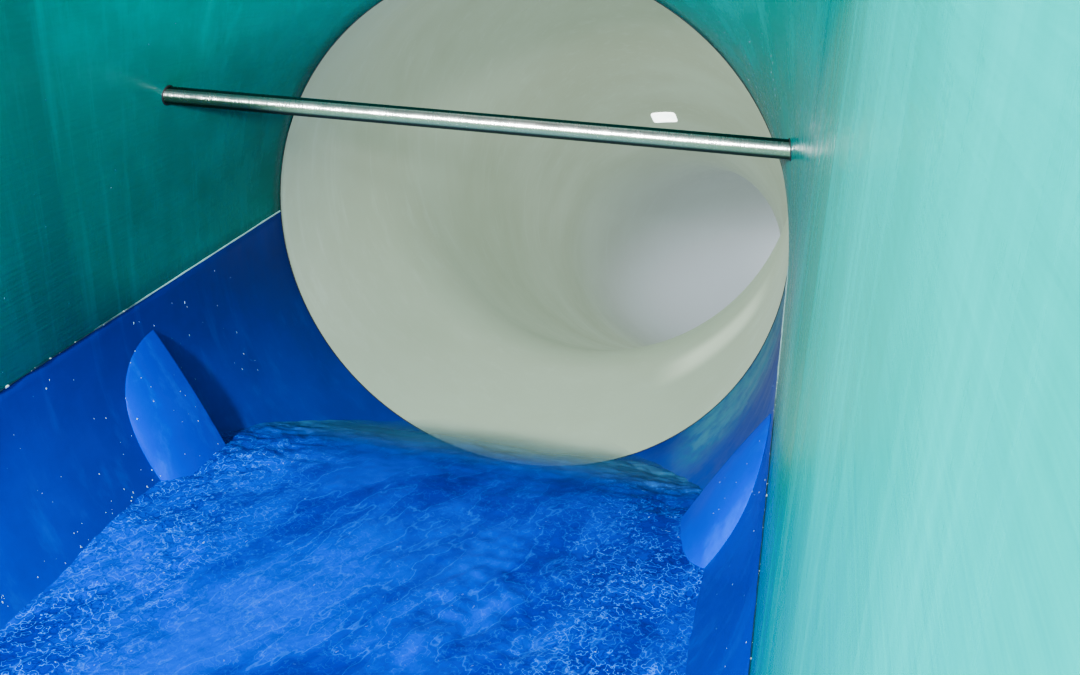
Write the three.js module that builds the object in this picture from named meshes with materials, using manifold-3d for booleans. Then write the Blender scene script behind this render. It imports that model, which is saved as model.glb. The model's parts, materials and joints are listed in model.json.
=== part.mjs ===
// Start unit of a closed-tube water slide: a blue half-pipe tub, a teal hood drawn in to a round mouth,
// a grab bar across it, and the first pale tube sections, on a steel stand.
// Millimetres, +Z up, +Y down the slide, +X to the right as seen from the tub.
// The origin is under the first tube column, on the floor.

import * as THREE from 'three';
import { mergeVertices } from 'three/addons/utils/BufferGeometryUtils.js';
import Module from 'manifold-3d';

const wasm = await Module();
wasm.setup();

// Driving dimensions: the slide
const BORE_R = 600; // inside radius of the tube, the tub and the mouth
const SHELL = 8; // laminate thickness
const FLANGE = 60; // how far a joint flange stands out
const FLANGE_T = 10; // flange thickness
const GAP = 0.3; // clearance between bolted pieces
const MOUTH_Y = -300; // the plane of the mouth
const MOUTH_Z = 2900; // height of the mouth's centre over the floor
const TUB_LENGTH = 2400; // from the end wall to the mouth

// Driving dimensions: the hood
const HOOD_HEIGHT = 930; // wall height over the seam
const HOOD_DEPTH = 815; // length over which the walls draw in to the mouth
const HOOD_BLEND = 1.6; // how late the walls turn in

// Driving dimensions: the grab bar
const BAR_R = 16.85;
const BAR_WALL = 2.6;
const BAR_Y = -480; // from the mouth plane
const BAR_Z = 370; // over the seam

// Driving dimensions: the tube
const MOUTH_RUN = 540; // straight run after the mouth
const DROP_R = 1500; // radius of the drop
const DROP_ANGLE = THREE.MathUtils.degToRad(24);
const SLOPE_SECTION = 1500; // length of each straight section
const TURN_R = 2500; // plan radius of the turn to the right
const TURN_ANGLE = THREE.MathUtils.degToRad(36); // turn of each bend section
const RUNOUT_SLOPE = THREE.MathUtils.degToRad(10);

// Driving dimensions: the inlets
const INLET_ANGLE = THREE.MathUtils.degToRad(62.5); // from the bottom of the tub
const SCOOP_LIP_Y = -581; // from the mouth plane
const SCOOP_LENGTH = 157;
const SCOOP_HALF_WIDTH = 362;
const SCOOP_RISE = 49;
const SCOOP_T = 6;
const PIPE_Y = -655;
const PIPE_BORE = 70;
const PIPE_WALL = 5;
const PIPE_REACH = 165; // from the tub's wall to the pipe's flange face
const PIPE_FLANGE_R = 140;
const PIPE_FLANGE_T = 18;
const COLLAR_R = 105;
const COLLAR_T = 10;

// Driving dimensions: the steel stand
const COLUMN = 100; // square column
const COLUMN_X = 500;
const BEAM = 100;
const BEAM_LENGTH = 1240;
const PLATE = 16; // foot and head plates
const FOOT = 280;
const HEAD = 160;
const CRADLE_T = 12;
const CRADLE_HALF = 480;
const CRADLE_RISE = 300; // height of a cradle's arms over the bottom of its bore
const CRADLE_WEB = 70; // web height under the bore
const CRADLE_FOOT = 140;
const BRACE_W = 60;
const BRACE_T = 8;
const TIE = 80;
const TIE_Z = 1000;
const POLE_R = 84; // round column under the tube
const POLE_FOOT = 420;
const POLE_OFFSET = 350; // from a tube joint to the column beside it
const TRESTLE_Y = { rear: -2150, front: -400 }; // from the mouth plane

// Fineness of the round faces
const RING_SEGMENTS = 48;
const ROD_SEGMENTS = 32;
const BEND_STEPS = 6;
const DROP_STEPS = 8;
const HOOD_COLS = 12;
const HOOD_OPEN_ROWS = 6;
const HOOD_FRONT_ROWS = 9;

const PALE = { color: 0xa6aeac, roughness: 0.35, metalness: 0 };
const BLUE = { color: 0x0a3fb4, roughness: 0.25, metalness: 0 };
const TEAL = { color: 0x0b7f7c, roughness: 0.22, metalness: 0 };
const STAINLESS = { color: 0xc9cdd0, roughness: 0.18, metalness: 1 };
const GALVANISED = { color: 0x9ba1a4, roughness: 0.5, metalness: 0.8 };
const RUBBER = { color: 0x1b1d1e, roughness: 0.8, metalness: 0 };
const GREY_PLASTIC = { color: 0x5d6468, roughness: 0.5, metalness: 0 };

const UP = new THREE.Vector3(0, 0, 1);
const part = new THREE.Group();
const slide = new THREE.Group();
slide.position.set(0, MOUTH_Y, MOUTH_Z);
part.add(slide);

// Shapes and solids

function addMesh(parent, name, geometry, look, x = 0, y = 0, z = 0) {
  geometry.computeVertexNormals();
  const mesh = new THREE.Mesh(geometry, new THREE.MeshStandardMaterial(look));
  mesh.name = name;
  mesh.position.set(x, y, z);
  parent.add(mesh);
  return mesh;
}

function toSolid(geometry) {
  const bare = geometry.clone();
  bare.deleteAttribute('normal');
  bare.deleteAttribute('uv');
  const merged = mergeVertices(bare, 1e-3);
  return new wasm.Manifold(new wasm.Mesh({
    numProp: 3,
    vertProperties: new Float32Array(merged.attributes.position.array),
    triVerts: new Uint32Array(merged.index.array),
  }));
}

function toGeometry(solid) {
  const mesh = solid.getMesh();
  const geometry = new THREE.BufferGeometry();
  geometry.setAttribute('position', new THREE.BufferAttribute(new Float32Array(mesh.vertProperties), 3));
  geometry.setIndex(new THREE.BufferAttribute(new Uint32Array(mesh.triVerts), 1));
  return geometry;
}

function box(x0, x1, y0, y1, z0, z1) {
  const geometry = new THREE.BoxGeometry(x1 - x0, y1 - y0, z1 - z0);
  return geometry.translate((x0 + x1) / 2, (y0 + y1) / 2, (z0 + z1) / 2);
}

function shapeOf(points) {
  return new THREE.Shape(points.map(([a, b]) => new THREE.Vector2(a, b)));
}

function flatExtrude(points, depth) {
  return new THREE.ExtrudeGeometry(shapeOf(points), { depth, bevelEnabled: false, steps: 1 });
}

// A profile of (x, z) points run from y0 to y1
function alongY(points, y0, y1) {
  return flatExtrude(points, y1 - y0).rotateX(Math.PI / 2).translate(0, y1, 0);
}

// A profile of (y, z) points run from x0 to x1
function alongX(points, x0, x1) {
  return flatExtrude(points, x1 - x0).rotateX(Math.PI / 2).rotateZ(Math.PI / 2).translate(x0, 0, 0);
}

// A profile of (x, y) points run from z0 to z1
function alongZ(points, z0, z1) {
  return flatExtrude(points, z1 - z0).translate(0, 0, z0);
}

function arc(radius, from, to, segments) {
  const points = [];
  for (let i = 0; i <= segments; i += 1) {
    const angle = from + ((to - from) * i) / segments;
    points.push([radius * Math.cos(angle), radius * Math.sin(angle)]);
  }
  return points;
}

// A disc, bar or cutter along the direction given, centred between two distances from the origin
function rod(radius, direction, from, to, segments = ROD_SEGMENTS) {
  const geometry = new THREE.CylinderGeometry(radius, radius, to - from, segments);
  geometry.translate(0, (from + to) / 2, 0);
  return geometry.applyQuaternion(new THREE.Quaternion().setFromUnitVectors(
    new THREE.Vector3(0, 1, 0),
    direction,
  ));
}

// A closed skin between two grids of points that share rows and columns
function thickSheet(rows, cols, innerAt, outerAt) {
  const positions = [];
  const index = [];
  const stride = cols + 1;
  const layer = (rows + 1) * stride;
  for (const at of [innerAt, outerAt]) {
    for (let i = 0; i <= rows; i += 1) {
      for (let j = 0; j <= cols; j += 1) positions.push(...at(i, j));
    }
  }
  const quad = (a, b, c, d) => index.push(a, c, b, a, d, c);
  for (let i = 0; i < rows; i += 1) {
    for (let j = 0; j < cols; j += 1) {
      const a = i * stride + j;
      quad(a, a + stride, a + stride + 1, a + 1);
      quad(layer + a, layer + a + 1, layer + a + stride + 1, layer + a + stride);
    }
  }
  for (let i = 0; i < rows; i += 1) {
    const a = i * stride;
    quad(a, layer + a, layer + a + stride, a + stride);
    const b = a + cols;
    quad(b, b + stride, layer + b + stride, layer + b);
  }
  for (let j = 0; j < cols; j += 1) {
    quad(j, j + 1, layer + j + 1, layer + j);
    const b = rows * stride + j;
    quad(b, layer + b, layer + b + 1, b + 1);
  }
  const geometry = new THREE.BufferGeometry();
  geometry.setAttribute('position', new THREE.Float32BufferAttribute(positions, 3));
  geometry.setIndex(index);
  return geometry;
}

function mirrorX(geometry) {
  const mirrored = geometry.clone();
  const position = mirrored.attributes.position;
  for (let i = 0; i < position.count; i += 1) position.setX(i, -position.getX(i));
  const index = mirrored.index.array;
  for (let i = 0; i < index.length; i += 3) [index[i], index[i + 2]] = [index[i + 2], index[i]];
  return mirrored;
}

// The tube's centre line, as frames of centre, tangent, right and up

function slopeAt(s) {
  if (s < MOUTH_RUN) return 0;
  const drop = (s - MOUTH_RUN) / DROP_R;
  if (drop < DROP_ANGLE) return drop;
  const turned = turnAt(s);
  const ease = THREE.MathUtils.smoothstep(turned, 0, TURN_ANGLE);
  return THREE.MathUtils.lerp(DROP_ANGLE, RUNOUT_SLOPE, ease);
}

const DROP_END = MOUTH_RUN + DROP_R * DROP_ANGLE;
const SLOPE_END = DROP_END + 2 * SLOPE_SECTION;
const BEND_LENGTH = TURN_R * TURN_ANGLE;
const TUBE_END = SLOPE_END + 2 * BEND_LENGTH;

function turnAt(s) {
  return Math.max(0, s - SLOPE_END) / TURN_R;
}

const LINE_STEP = 5;
const centreLine = [];
for (let s = 0, point = new THREE.Vector3(); s <= TUBE_END + 2 * LINE_STEP; s += LINE_STEP) {
  const half = s + LINE_STEP / 2;
  centreLine.push(point.clone());
  point = point.clone().add(tangentAt(half).multiplyScalar(LINE_STEP));
}

function tangentAt(s) {
  const slope = slopeAt(s);
  const turn = turnAt(s);
  return new THREE.Vector3(
    Math.cos(slope) * Math.sin(turn),
    Math.cos(slope) * Math.cos(turn),
    -Math.sin(slope),
  );
}

function frameAt(s) {
  const i = Math.min(Math.floor(s / LINE_STEP), centreLine.length - 2);
  const centre = centreLine[i].clone().lerp(centreLine[i + 1], s / LINE_STEP - i);
  const tangent = tangentAt(s);
  const right = tangent.clone().cross(UP).normalize();
  return { centre, tangent, right, up: right.clone().cross(tangent) };
}

// A ring of points round the centre line
function ringPoint(frame, radius, k) {
  const angle = (2 * Math.PI * k) / RING_SEGMENTS;
  return frame.centre.clone()
    .addScaledVector(frame.right, radius * Math.cos(angle))
    .addScaledVector(frame.up, radius * Math.sin(angle));
}

// A closed body swept round the centre line; stations are [s, inside radius, outside radius]
function ringLoft(stations) {
  const rows = stations.length;
  const positions = [];
  const index = [];
  const loop = RING_SEGMENTS;
  for (const side of [1, 2]) {
    for (const station of stations) {
      const frame = frameAt(station[0]);
      for (let k = 0; k < loop; k += 1) positions.push(...ringPoint(frame, station[side], k));
    }
  }
  const quad = (a, b, c, d) => index.push(a, b, c, a, c, d);
  const outer = rows * loop;
  for (let i = 0; i < rows - 1; i += 1) {
    for (let k = 0; k < loop; k += 1) {
      const n = (k + 1) % loop;
      const a = i * loop;
      if (stations[i][0] !== stations[i + 1][0]) quad(a + k, a + n, a + loop + n, a + loop + k);
      quad(outer + a + k, outer + a + loop + k, outer + a + loop + n, outer + a + n);
    }
  }
  for (let k = 0; k < loop; k += 1) {
    const n = (k + 1) % loop;
    quad(k, outer + k, outer + n, n);
    const a = (rows - 1) * loop;
    quad(a + k, a + n, outer + a + n, outer + a + k);
  }
  const geometry = new THREE.BufferGeometry();
  geometry.setAttribute('position', new THREE.Float32BufferAttribute(positions, 3));
  geometry.setIndex(index);
  return geometry;
}

// Where a section's skin has its rings, between its two flanges
function skinRings([from, to, steps]) {
  const rings = [];
  for (let i = 0; i <= steps; i += 1) rings.push(THREE.MathUtils.lerp(from + GAP / 2, to - GAP / 2, i / steps));
  return rings;
}

function tubeSection(section) {
  const skin = BORE_R + SHELL;
  const rim = skin + FLANGE;
  const rings = skinRings(section);
  const [start, end] = [rings[0], rings.at(-1)];
  const stations = [
    [start, BORE_R, rim],
    [start + FLANGE_T, BORE_R, rim],
    [start + FLANGE_T, BORE_R, skin],
    ...rings.slice(1, -1).map((s) => [s, BORE_R, skin]),
    [end - FLANGE_T, BORE_R, skin],
    [end - FLANGE_T, BORE_R, rim],
    [end, BORE_R, rim],
  ];
  return toGeometry(toSolid(ringLoft(stations)));
}

// Everything inside a section's outer face, as a cutter for the cradle that carries it
function tubeFill(section) {
  const rings = skinRings(section);
  const [start, end] = [rings[0], rings.at(-1)];
  const all = [start, start + FLANGE_T, ...rings.slice(1, -1), end - FLANGE_T, end];
  return toSolid(ringLoft(all.map((s) => [s, BORE_R / 2, BORE_R + SHELL + GAP])));
}

// The tub

function tubShell() {
  const rim = BORE_R + SHELL + FLANGE;
  const top = -GAP / 2;
  const under = top - FLANGE_T;
  const half = RING_SEGMENTS / 2;
  const lip = Math.asin(-top / BORE_R);
  const dip = Math.asin(-under / (BORE_R + SHELL));
  const profile = [
    [-rim, top],
    ...arc(BORE_R, Math.PI + lip, 2 * Math.PI - lip, half),
    [rim, top],
    [rim, under],
    ...arc(BORE_R + SHELL, 2 * Math.PI - dip, Math.PI + dip, half),
    [-rim, under],
  ];
  const end = -GAP / 2;
  const endFlange = [
    ...arc(BORE_R, Math.PI + lip, 2 * Math.PI - lip, half),
    ...arc(rim, 2 * Math.PI - dip, Math.PI + dip, half),
  ];
  const inlets = [-1, 1].map((side) => toSolid(inletCutter(side)));
  return toGeometry(toSolid(alongY(profile, -TUB_LENGTH, end))
    .add(toSolid(alongY(endFlange, end - FLANGE_T, end)))
    .add(toSolid(alongY(endFlange, -TUB_LENGTH, -TUB_LENGTH + FLANGE_T)))
    .subtract(inlets[0])
    .subtract(inlets[1]));
}

function inletDirection(side) {
  return new THREE.Vector3(side * Math.sin(INLET_ANGLE), 0, -Math.cos(INLET_ANGLE));
}

function inletCutter(side) {
  const reach = BORE_R * 2;
  return rod(PIPE_BORE + PIPE_WALL + GAP, inletDirection(side), BORE_R / 2, reach).translate(0, PIPE_Y, 0);
}

// The end wall's top edge turns outwards into a sill, which the platform's edge meets
function tubEndWall() {
  const rim = BORE_R + SHELL + FLANGE;
  const face = -TUB_LENGTH - GAP;
  const dip = Math.asin((GAP / 2) / rim);
  const wall = alongY(arc(rim, Math.PI + dip, 2 * Math.PI - dip, RING_SEGMENTS / 2), face - FLANGE_T, face);
  const wide = rim * Math.cos(dip);
  const sill = box(-wide, wide, face - FLANGE, face, -GAP / 2 - FLANGE_T, -GAP / 2);
  return toGeometry(toSolid(wall).add(toSolid(sill)));
}

// A scoop is a thin domed cover over an inlet, open towards the mouth
function inletScoop(side) {
  const dome = (shrink) => {
    const geometry = new THREE.SphereGeometry(1, 32, 16);
    geometry.scale(SCOOP_HALF_WIDTH - shrink, SCOOP_LENGTH - shrink, SCOOP_RISE - shrink);
    const turn = new THREE.Quaternion().setFromAxisAngle(new THREE.Vector3(0, 1, 0), -side * INLET_ANGLE);
    geometry.applyQuaternion(turn);
    const centre = inletDirection(side).multiplyScalar(BORE_R);
    return toSolid(geometry.translate(centre.x, SCOOP_LIP_Y, centre.z));
  };
  const bounds = BORE_R * 1.2;
  const upstream = toSolid(box(-bounds, bounds, -bounds * 2, SCOOP_LIP_Y, -bounds, bounds));
  const wall = toSolid(rod(BORE_R - GAP - 1, new THREE.Vector3(0, 1, 0), -bounds * 2, 0, RING_SEGMENTS * 2));
  return toGeometry(dome(0).subtract(dome(SCOOP_T)).intersect(upstream).intersect(wall));
}

function inletPipe(side) {
  const bore = PIPE_BORE;
  const skin = PIPE_BORE + PIPE_WALL;
  const start = BORE_R + 1;
  const end = BORE_R + PIPE_REACH;
  const points = [
    [bore, start],
    [skin, start],
    [skin, BORE_R + SHELL / 2],
    [COLLAR_R, BORE_R - SHELL * 2],
    [COLLAR_R, BORE_R + SHELL + COLLAR_T],
    [skin, BORE_R + SHELL + COLLAR_T],
    [skin, end - PIPE_FLANGE_T],
    [PIPE_FLANGE_R, end - PIPE_FLANGE_T],
    [PIPE_FLANGE_R, end],
    [bore, end],
    [bore, start],
  ].map(([r, z]) => new THREE.Vector2(r, z));
  const turn = new THREE.Quaternion().setFromUnitVectors(new THREE.Vector3(0, 1, 0), inletDirection(side));
  const pipe = new THREE.LatheGeometry(points, ROD_SEGMENTS).applyQuaternion(turn).translate(0, PIPE_Y, 0);
  const wall = rod(BORE_R + SHELL + GAP, new THREE.Vector3(0, 1, 0), -TUB_LENGTH, 0, RING_SEGMENTS * 2);
  const neck = rod(skin + GAP / 4, inletDirection(side), BORE_R / 2, BORE_R * 2).translate(0, PIPE_Y, 0);
  const body = toSolid(pipe);
  return toGeometry(body.subtract(toSolid(wall).subtract(toSolid(neck))));
}

// The hood: its section is an ellipse of half width BORE_R whose height grows without limit upstream,
// so the walls stand upright there and close to the round mouth at y = 0

function hoodBlend(y) {
  const along = (y + HOOD_DEPTH) / HOOD_DEPTH;
  return along <= 0 ? 0 : along ** HOOD_BLEND;
}

function hoodBlendRate(y) {
  const along = (y + HOOD_DEPTH) / HOOD_DEPTH;
  return along <= 0 ? 0 : (HOOD_BLEND * along ** (HOOD_BLEND - 1)) / HOOD_DEPTH;
}

// Where the leaning front meets the top of the walls, at x = 0
const HOOD_FRONT_Y = HOOD_DEPTH * ((BORE_R / HOOD_HEIGHT) ** (2 / HOOD_BLEND) - 1);

// A point of the hood's right half, a given distance outside its inner face
function hoodPoint(y, share, offset) {
  const blend = hoodBlend(y);
  const root = Math.sqrt(blend);
  const most = Math.min(1, (HOOD_HEIGHT * root) / BORE_R);
  const angle = share * Math.asin(most);
  const x = BORE_R * Math.cos(angle);
  const z = root > 0 ? (BORE_R * Math.sin(angle)) / root : share * HOOD_HEIGHT;
  const slope = [2 * x, z * z * hoodBlendRate(y), 2 * z * blend];
  const across = slope[0] ** 2 + slope[2] ** 2;
  const reach = (offset * Math.hypot(...slope)) / across;
  return [Math.max(x + reach * slope[0], GAP / 2), y, z + reach * slope[2]];
}

function hoodStations() {
  const straight = [-TUB_LENGTH];
  const drawn = [];
  for (let i = 0; i < HOOD_OPEN_ROWS; i += 1) {
    drawn.push(-HOOD_DEPTH + ((HOOD_FRONT_Y + HOOD_DEPTH) * i) / HOOD_OPEN_ROWS);
  }
  for (let i = 0; i <= HOOD_FRONT_ROWS; i += 1) {
    drawn.push(THREE.MathUtils.lerp(HOOD_FRONT_Y, -GAP / 2, i / HOOD_FRONT_ROWS));
  }
  return [...straight, ...drawn];
}

function hoodSheet(inner, outer) {
  const ys = hoodStations();
  return thickSheet(
    ys.length - 1,
    HOOD_COLS,
    (i, j) => hoodPoint(ys[i], j / HOOD_COLS, inner),
    (i, j) => hoodPoint(ys[i], j / HOOD_COLS, outer),
  );
}

// The bottom flange lies on the tub's flange
function hoodFootFlange() {
  return box(BORE_R + 1, BORE_R + SHELL + FLANGE, -TUB_LENGTH, -GAP / 2, GAP / 2, GAP / 2 + FLANGE_T);
}

function hoodMouthFlange() {
  const lift = (GAP / 2) / BORE_R;
  const side = Math.PI / 2 - lift;
  const rim = BORE_R + SHELL + FLANGE;
  const quarter = RING_SEGMENTS / 4;
  const ring = [...arc(BORE_R + 1, lift, side, quarter), ...arc(rim, side, lift, quarter)];
  return alongY(ring, -GAP / 2 - FLANGE_T, -GAP / 2);
}

function hoodEndFlange() {
  return box(BORE_R + 1, BORE_R + SHELL + FLANGE, -TUB_LENGTH, -TUB_LENGTH + FLANGE_T, GAP / 2, HOOD_HEIGHT);
}

// The rim runs along the top of the wall and round the leaning front
function hoodRim() {
  const inner = [[BORE_R + 1, -TUB_LENGTH]];
  const outer = [[BORE_R + FLANGE, -TUB_LENGTH]];
  const ys = hoodStations().filter((y) => y >= -HOOD_DEPTH && y <= HOOD_FRONT_Y);
  for (const y of ys) {
    const [x] = hoodPoint(y, 1, 1);
    const slope = [2 * x, HOOD_HEIGHT ** 2 * hoodBlendRate(y)];
    const length = Math.hypot(...slope);
    inner.push([x, y]);
    outer.push([
      Math.max(x + (FLANGE * slope[0]) / length, GAP / 2),
      y + (FLANGE * slope[1]) / length,
    ]);
  }
  return alongZ([...outer, ...inner.reverse()], HOOD_HEIGHT - FLANGE_T, HOOD_HEIGHT);
}

// The upright flange that bolts the two halves together over the mouth
function hoodCrownFlange() {
  const low = [];
  const high = [];
  for (const y of hoodStations().filter((value) => value >= HOOD_FRONT_Y)) {
    const z = BORE_R / Math.sqrt(hoodBlend(y));
    low.push([y, Math.min(z + 1, HOOD_HEIGHT - 1)]);
    high.push([y, Math.min(z + SHELL + FLANGE * 1.4, HOOD_HEIGHT)]);
  }
  return alongX([...low, ...high.reverse()], GAP / 2, GAP / 2 + FLANGE_T);
}

function hoodHalf() {
  const bar = rod(BAR_R + GAP + 1, new THREE.Vector3(1, 0, 0), BORE_R / 2, BORE_R * 1.5)
    .translate(0, BAR_Y, BAR_Z);
  const pieces = [hoodFootFlange(), hoodMouthFlange(), hoodEndFlange(), hoodRim(), hoodCrownFlange()];
  let solid = toSolid(hoodSheet(0, SHELL));
  for (const piece of pieces) solid = solid.add(toSolid(piece));
  return toGeometry(solid.subtract(toSolid(bar)));
}

// The grab bar, its end plates and gaskets

function ringLathe(bore, skin, from, to) {
  const points = [[bore, from], [skin, from], [skin, to], [bore, to], [bore, from]];
  const geometry = new THREE.LatheGeometry(points.map(([r, z]) => new THREE.Vector2(r, z)), ROD_SEGMENTS);
  return geometry.rotateZ(-Math.PI / 2);
}

const BAR_REACH = BORE_R + 45;
const PLATE_R = 60;

function barPlate(side) {
  const skin = toSolid(hoodSheet(-BORE_R / 2, SHELL + GAP));
  const disc = ringLathe(BAR_R + GAP, PLATE_R, BORE_R * 0.9, BORE_R + SHELL + 12).translate(0, BAR_Y, BAR_Z);
  const collar = ringLathe(BAR_R + GAP, BAR_R + 6, BORE_R, BAR_REACH - 2).translate(0, BAR_Y, BAR_Z);
  const plate = toGeometry(toSolid(disc).add(toSolid(collar)).subtract(skin));
  return side > 0 ? plate : mirrorX(plate);
}

function barGasket(side) {
  const skin = toSolid(hoodSheet(-2.5, -GAP));
  const ring = toSolid(ringLathe(BAR_R + GAP, BAR_R + 5, BORE_R * 0.8, BORE_R).translate(0, BAR_Y, BAR_Z));
  const gasket = toGeometry(ring.intersect(skin));
  return side > 0 ? gasket : mirrorX(gasket);
}

// The steel stand

function union(geometries) {
  return geometries.map(toSolid).reduce((all, next) => all.add(next));
}

const SKIN_R = BORE_R + SHELL;
const BEAM_TOP = MOUTH_Z - SKIN_R - GAP - CRADLE_WEB - CRADLE_T;

function squarePlate(width, z0, thickness) {
  return box(-width / 2, width / 2, -width / 2, width / 2, z0, z0 + thickness);
}

function column() {
  const top = BEAM_TOP - BEAM - 2 * GAP;
  const half = COLUMN / 2;
  return toGeometry(union([
    squarePlate(FOOT, 0, PLATE),
    box(-half, half, -half, half, PLATE / 2, top - PLATE / 2),
    squarePlate(HEAD, top - PLATE, PLATE),
  ]));
}

function crossBeam() {
  const half = BEAM / 2;
  const top = BEAM_TOP - GAP;
  return box(-BEAM_LENGTH / 2, BEAM_LENGTH / 2, -half, half, top - BEAM, top);
}

// A web that follows the underside of a tube or tub, on a flat foot
function cradle(fill, footZ, boreBottom) {
  const web = box(-CRADLE_HALF, CRADLE_HALF, -CRADLE_T / 2, CRADLE_T / 2, footZ, boreBottom + CRADLE_RISE);
  const foot = box(-CRADLE_HALF, CRADLE_HALF, -CRADLE_FOOT / 2, CRADLE_FOOT / 2, footZ, footZ + CRADLE_T);
  return toGeometry(union([web, foot]).subtract(fill));
}

function brace(spanX, z0, z1) {
  const run = new THREE.Vector2(spanX, z1 - z0);
  const across = new THREE.Vector2(-run.y, run.x).setLength(BRACE_W / 2);
  const corners = [
    [-spanX / 2 - across.x, z0 - across.y],
    [spanX / 2 - across.x, z1 - across.y],
    [spanX / 2 + across.x, z1 + across.y],
    [-spanX / 2 + across.x, z0 + across.y],
  ];
  return alongY(corners, -BRACE_T / 2, BRACE_T / 2);
}

function addTrestle(name, y) {
  const z = -SKIN_R;
  const bed = rod(SKIN_R + GAP, new THREE.Vector3(0, 1, 0), -FOOT, FOOT, RING_SEGMENTS * 2)
    .translate(0, 0, MOUTH_Z);
  addMesh(part, `${name}_left_column`, column(), GALVANISED, -COLUMN_X, y, 0);
  addMesh(part, `${name}_right_column`, column(), GALVANISED, COLUMN_X, y, 0);
  addMesh(part, `${name}_cross_beam`, crossBeam(), GALVANISED, 0, y, 0);
  addMesh(part, `${name}_cradle`, cradle(toSolid(bed), BEAM_TOP, MOUTH_Z + z), GALVANISED, 0, y, 0);
  const face = COLUMN / 2 + BRACE_T / 2 + GAP;
  const low = 250;
  const high = BEAM_TOP - BEAM - 200;
  addMesh(part, `${name}_brace_a`, brace(2 * COLUMN_X, low, high), GALVANISED, 0, y + face, 0);
  addMesh(part, `${name}_brace_b`, brace(-2 * COLUMN_X, low, high), GALVANISED, 0, y - face, 0);
}

function addTubePole(name, s, section) {
  const frame = frameAt(s);
  const spot = new THREE.Group();
  const y = frame.centre.y + MOUTH_Y;
  const axisZ = frame.centre.z + MOUTH_Z;
  spot.position.set(frame.centre.x, y, 0);
  spot.rotation.z = -turnAt(s);
  part.add(spot);
  const reach = SKIN_R / Math.cos(slopeAt(s));
  const boreBottom = axisZ - reach;
  const footZ = boreBottom - CRADLE_WEB - CRADLE_T;
  const fill = tubeFill(section).translate([0, MOUTH_Y, MOUTH_Z]);
  const local = fill.translate([-frame.centre.x, -y, 0])
    .rotate([0, 0, THREE.MathUtils.radToDeg(turnAt(s))]);
  addMesh(spot, `${name}_cradle`, cradle(local, footZ, boreBottom), GALVANISED);
  const top = footZ - GAP;
  const pole = union([
    squarePlate(POLE_FOOT, 0, PLATE),
    rod(POLE_R, UP, PLATE / 2, top - PLATE / 2),
    squarePlate(FOOT, top - PLATE, PLATE),
  ]);
  addMesh(spot, `${name}_column`, toGeometry(pole), GALVANISED);
}

// Assembly

const half = hoodHalf();
addMesh(slide, 'start_tub_shell', tubShell(), BLUE);
addMesh(slide, 'tub_end_wall', tubEndWall(), BLUE);
addMesh(slide, 'right_hood_half', half, TEAL);
addMesh(slide, 'left_hood_half', mirrorX(half), TEAL);
for (const [side, word] of [[-1, 'left'], [1, 'right']]) {
  addMesh(slide, `${word}_inlet_scoop`, inletScoop(side), BLUE);
  addMesh(slide, `${word}_inlet_pipe`, inletPipe(side), GREY_PLASTIC);
  addMesh(slide, `${word}_bar_plate`, barPlate(side), STAINLESS);
  addMesh(slide, `${word}_bar_gasket`, barGasket(side), RUBBER);
}
addMesh(slide, 'grab_bar', ringLathe(BAR_R - BAR_WALL, BAR_R, -BAR_REACH, BAR_REACH), STAINLESS, 0, BAR_Y, BAR_Z);

const sections = {
  tube_drop_section: [0, DROP_END, DROP_STEPS],
  tube_slope_section_1: [DROP_END, DROP_END + SLOPE_SECTION, 1],
  tube_slope_section_2: [DROP_END + SLOPE_SECTION, SLOPE_END, 1],
  tube_bend_section_1: [SLOPE_END, SLOPE_END + BEND_LENGTH, BEND_STEPS],
  tube_bend_section_2: [SLOPE_END + BEND_LENGTH, TUBE_END, BEND_STEPS],
};
for (const [name, section] of Object.entries(sections)) addMesh(slide, name, tubeSection(section), PALE);

addTrestle('rear', MOUTH_Y + TRESTLE_Y.rear);
addTrestle('front', MOUTH_Y + TRESTLE_Y.front);
for (const [side, word] of [[-1, 'left'], [1, 'right']]) {
  const clear = COLUMN / 2 + GAP;
  addMesh(
    part,
    `${word}_side_tie`,
    box(-TIE / 2, TIE / 2, TRESTLE_Y.rear + clear, TRESTLE_Y.front - clear, TIE_Z, TIE_Z + TIE),
    GALVANISED,
    side * COLUMN_X,
    MOUTH_Y,
    0,
  );
}
addTubePole('mouth', -MOUTH_Y, sections.tube_drop_section);
addTubePole('slope', DROP_END + SLOPE_SECTION + POLE_OFFSET, sections.tube_slope_section_2);
addTubePole('outlet', TUBE_END - POLE_OFFSET, sections.tube_bend_section_2);

export default part;
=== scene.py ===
# %% [markdown]
# # The start of a tube slide
# The ride starts in a blue half-pipe tub with a bar across it, and drops into a pale round tube.
# The imported model gives every piece its place. This lesson gives each one its smooth shape and its
# finish. The frame is loaded first.

# %% Load the frame
import json
import math
import random

import bmesh
import bpy
from mathutils import Matrix, Vector, noise


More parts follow.
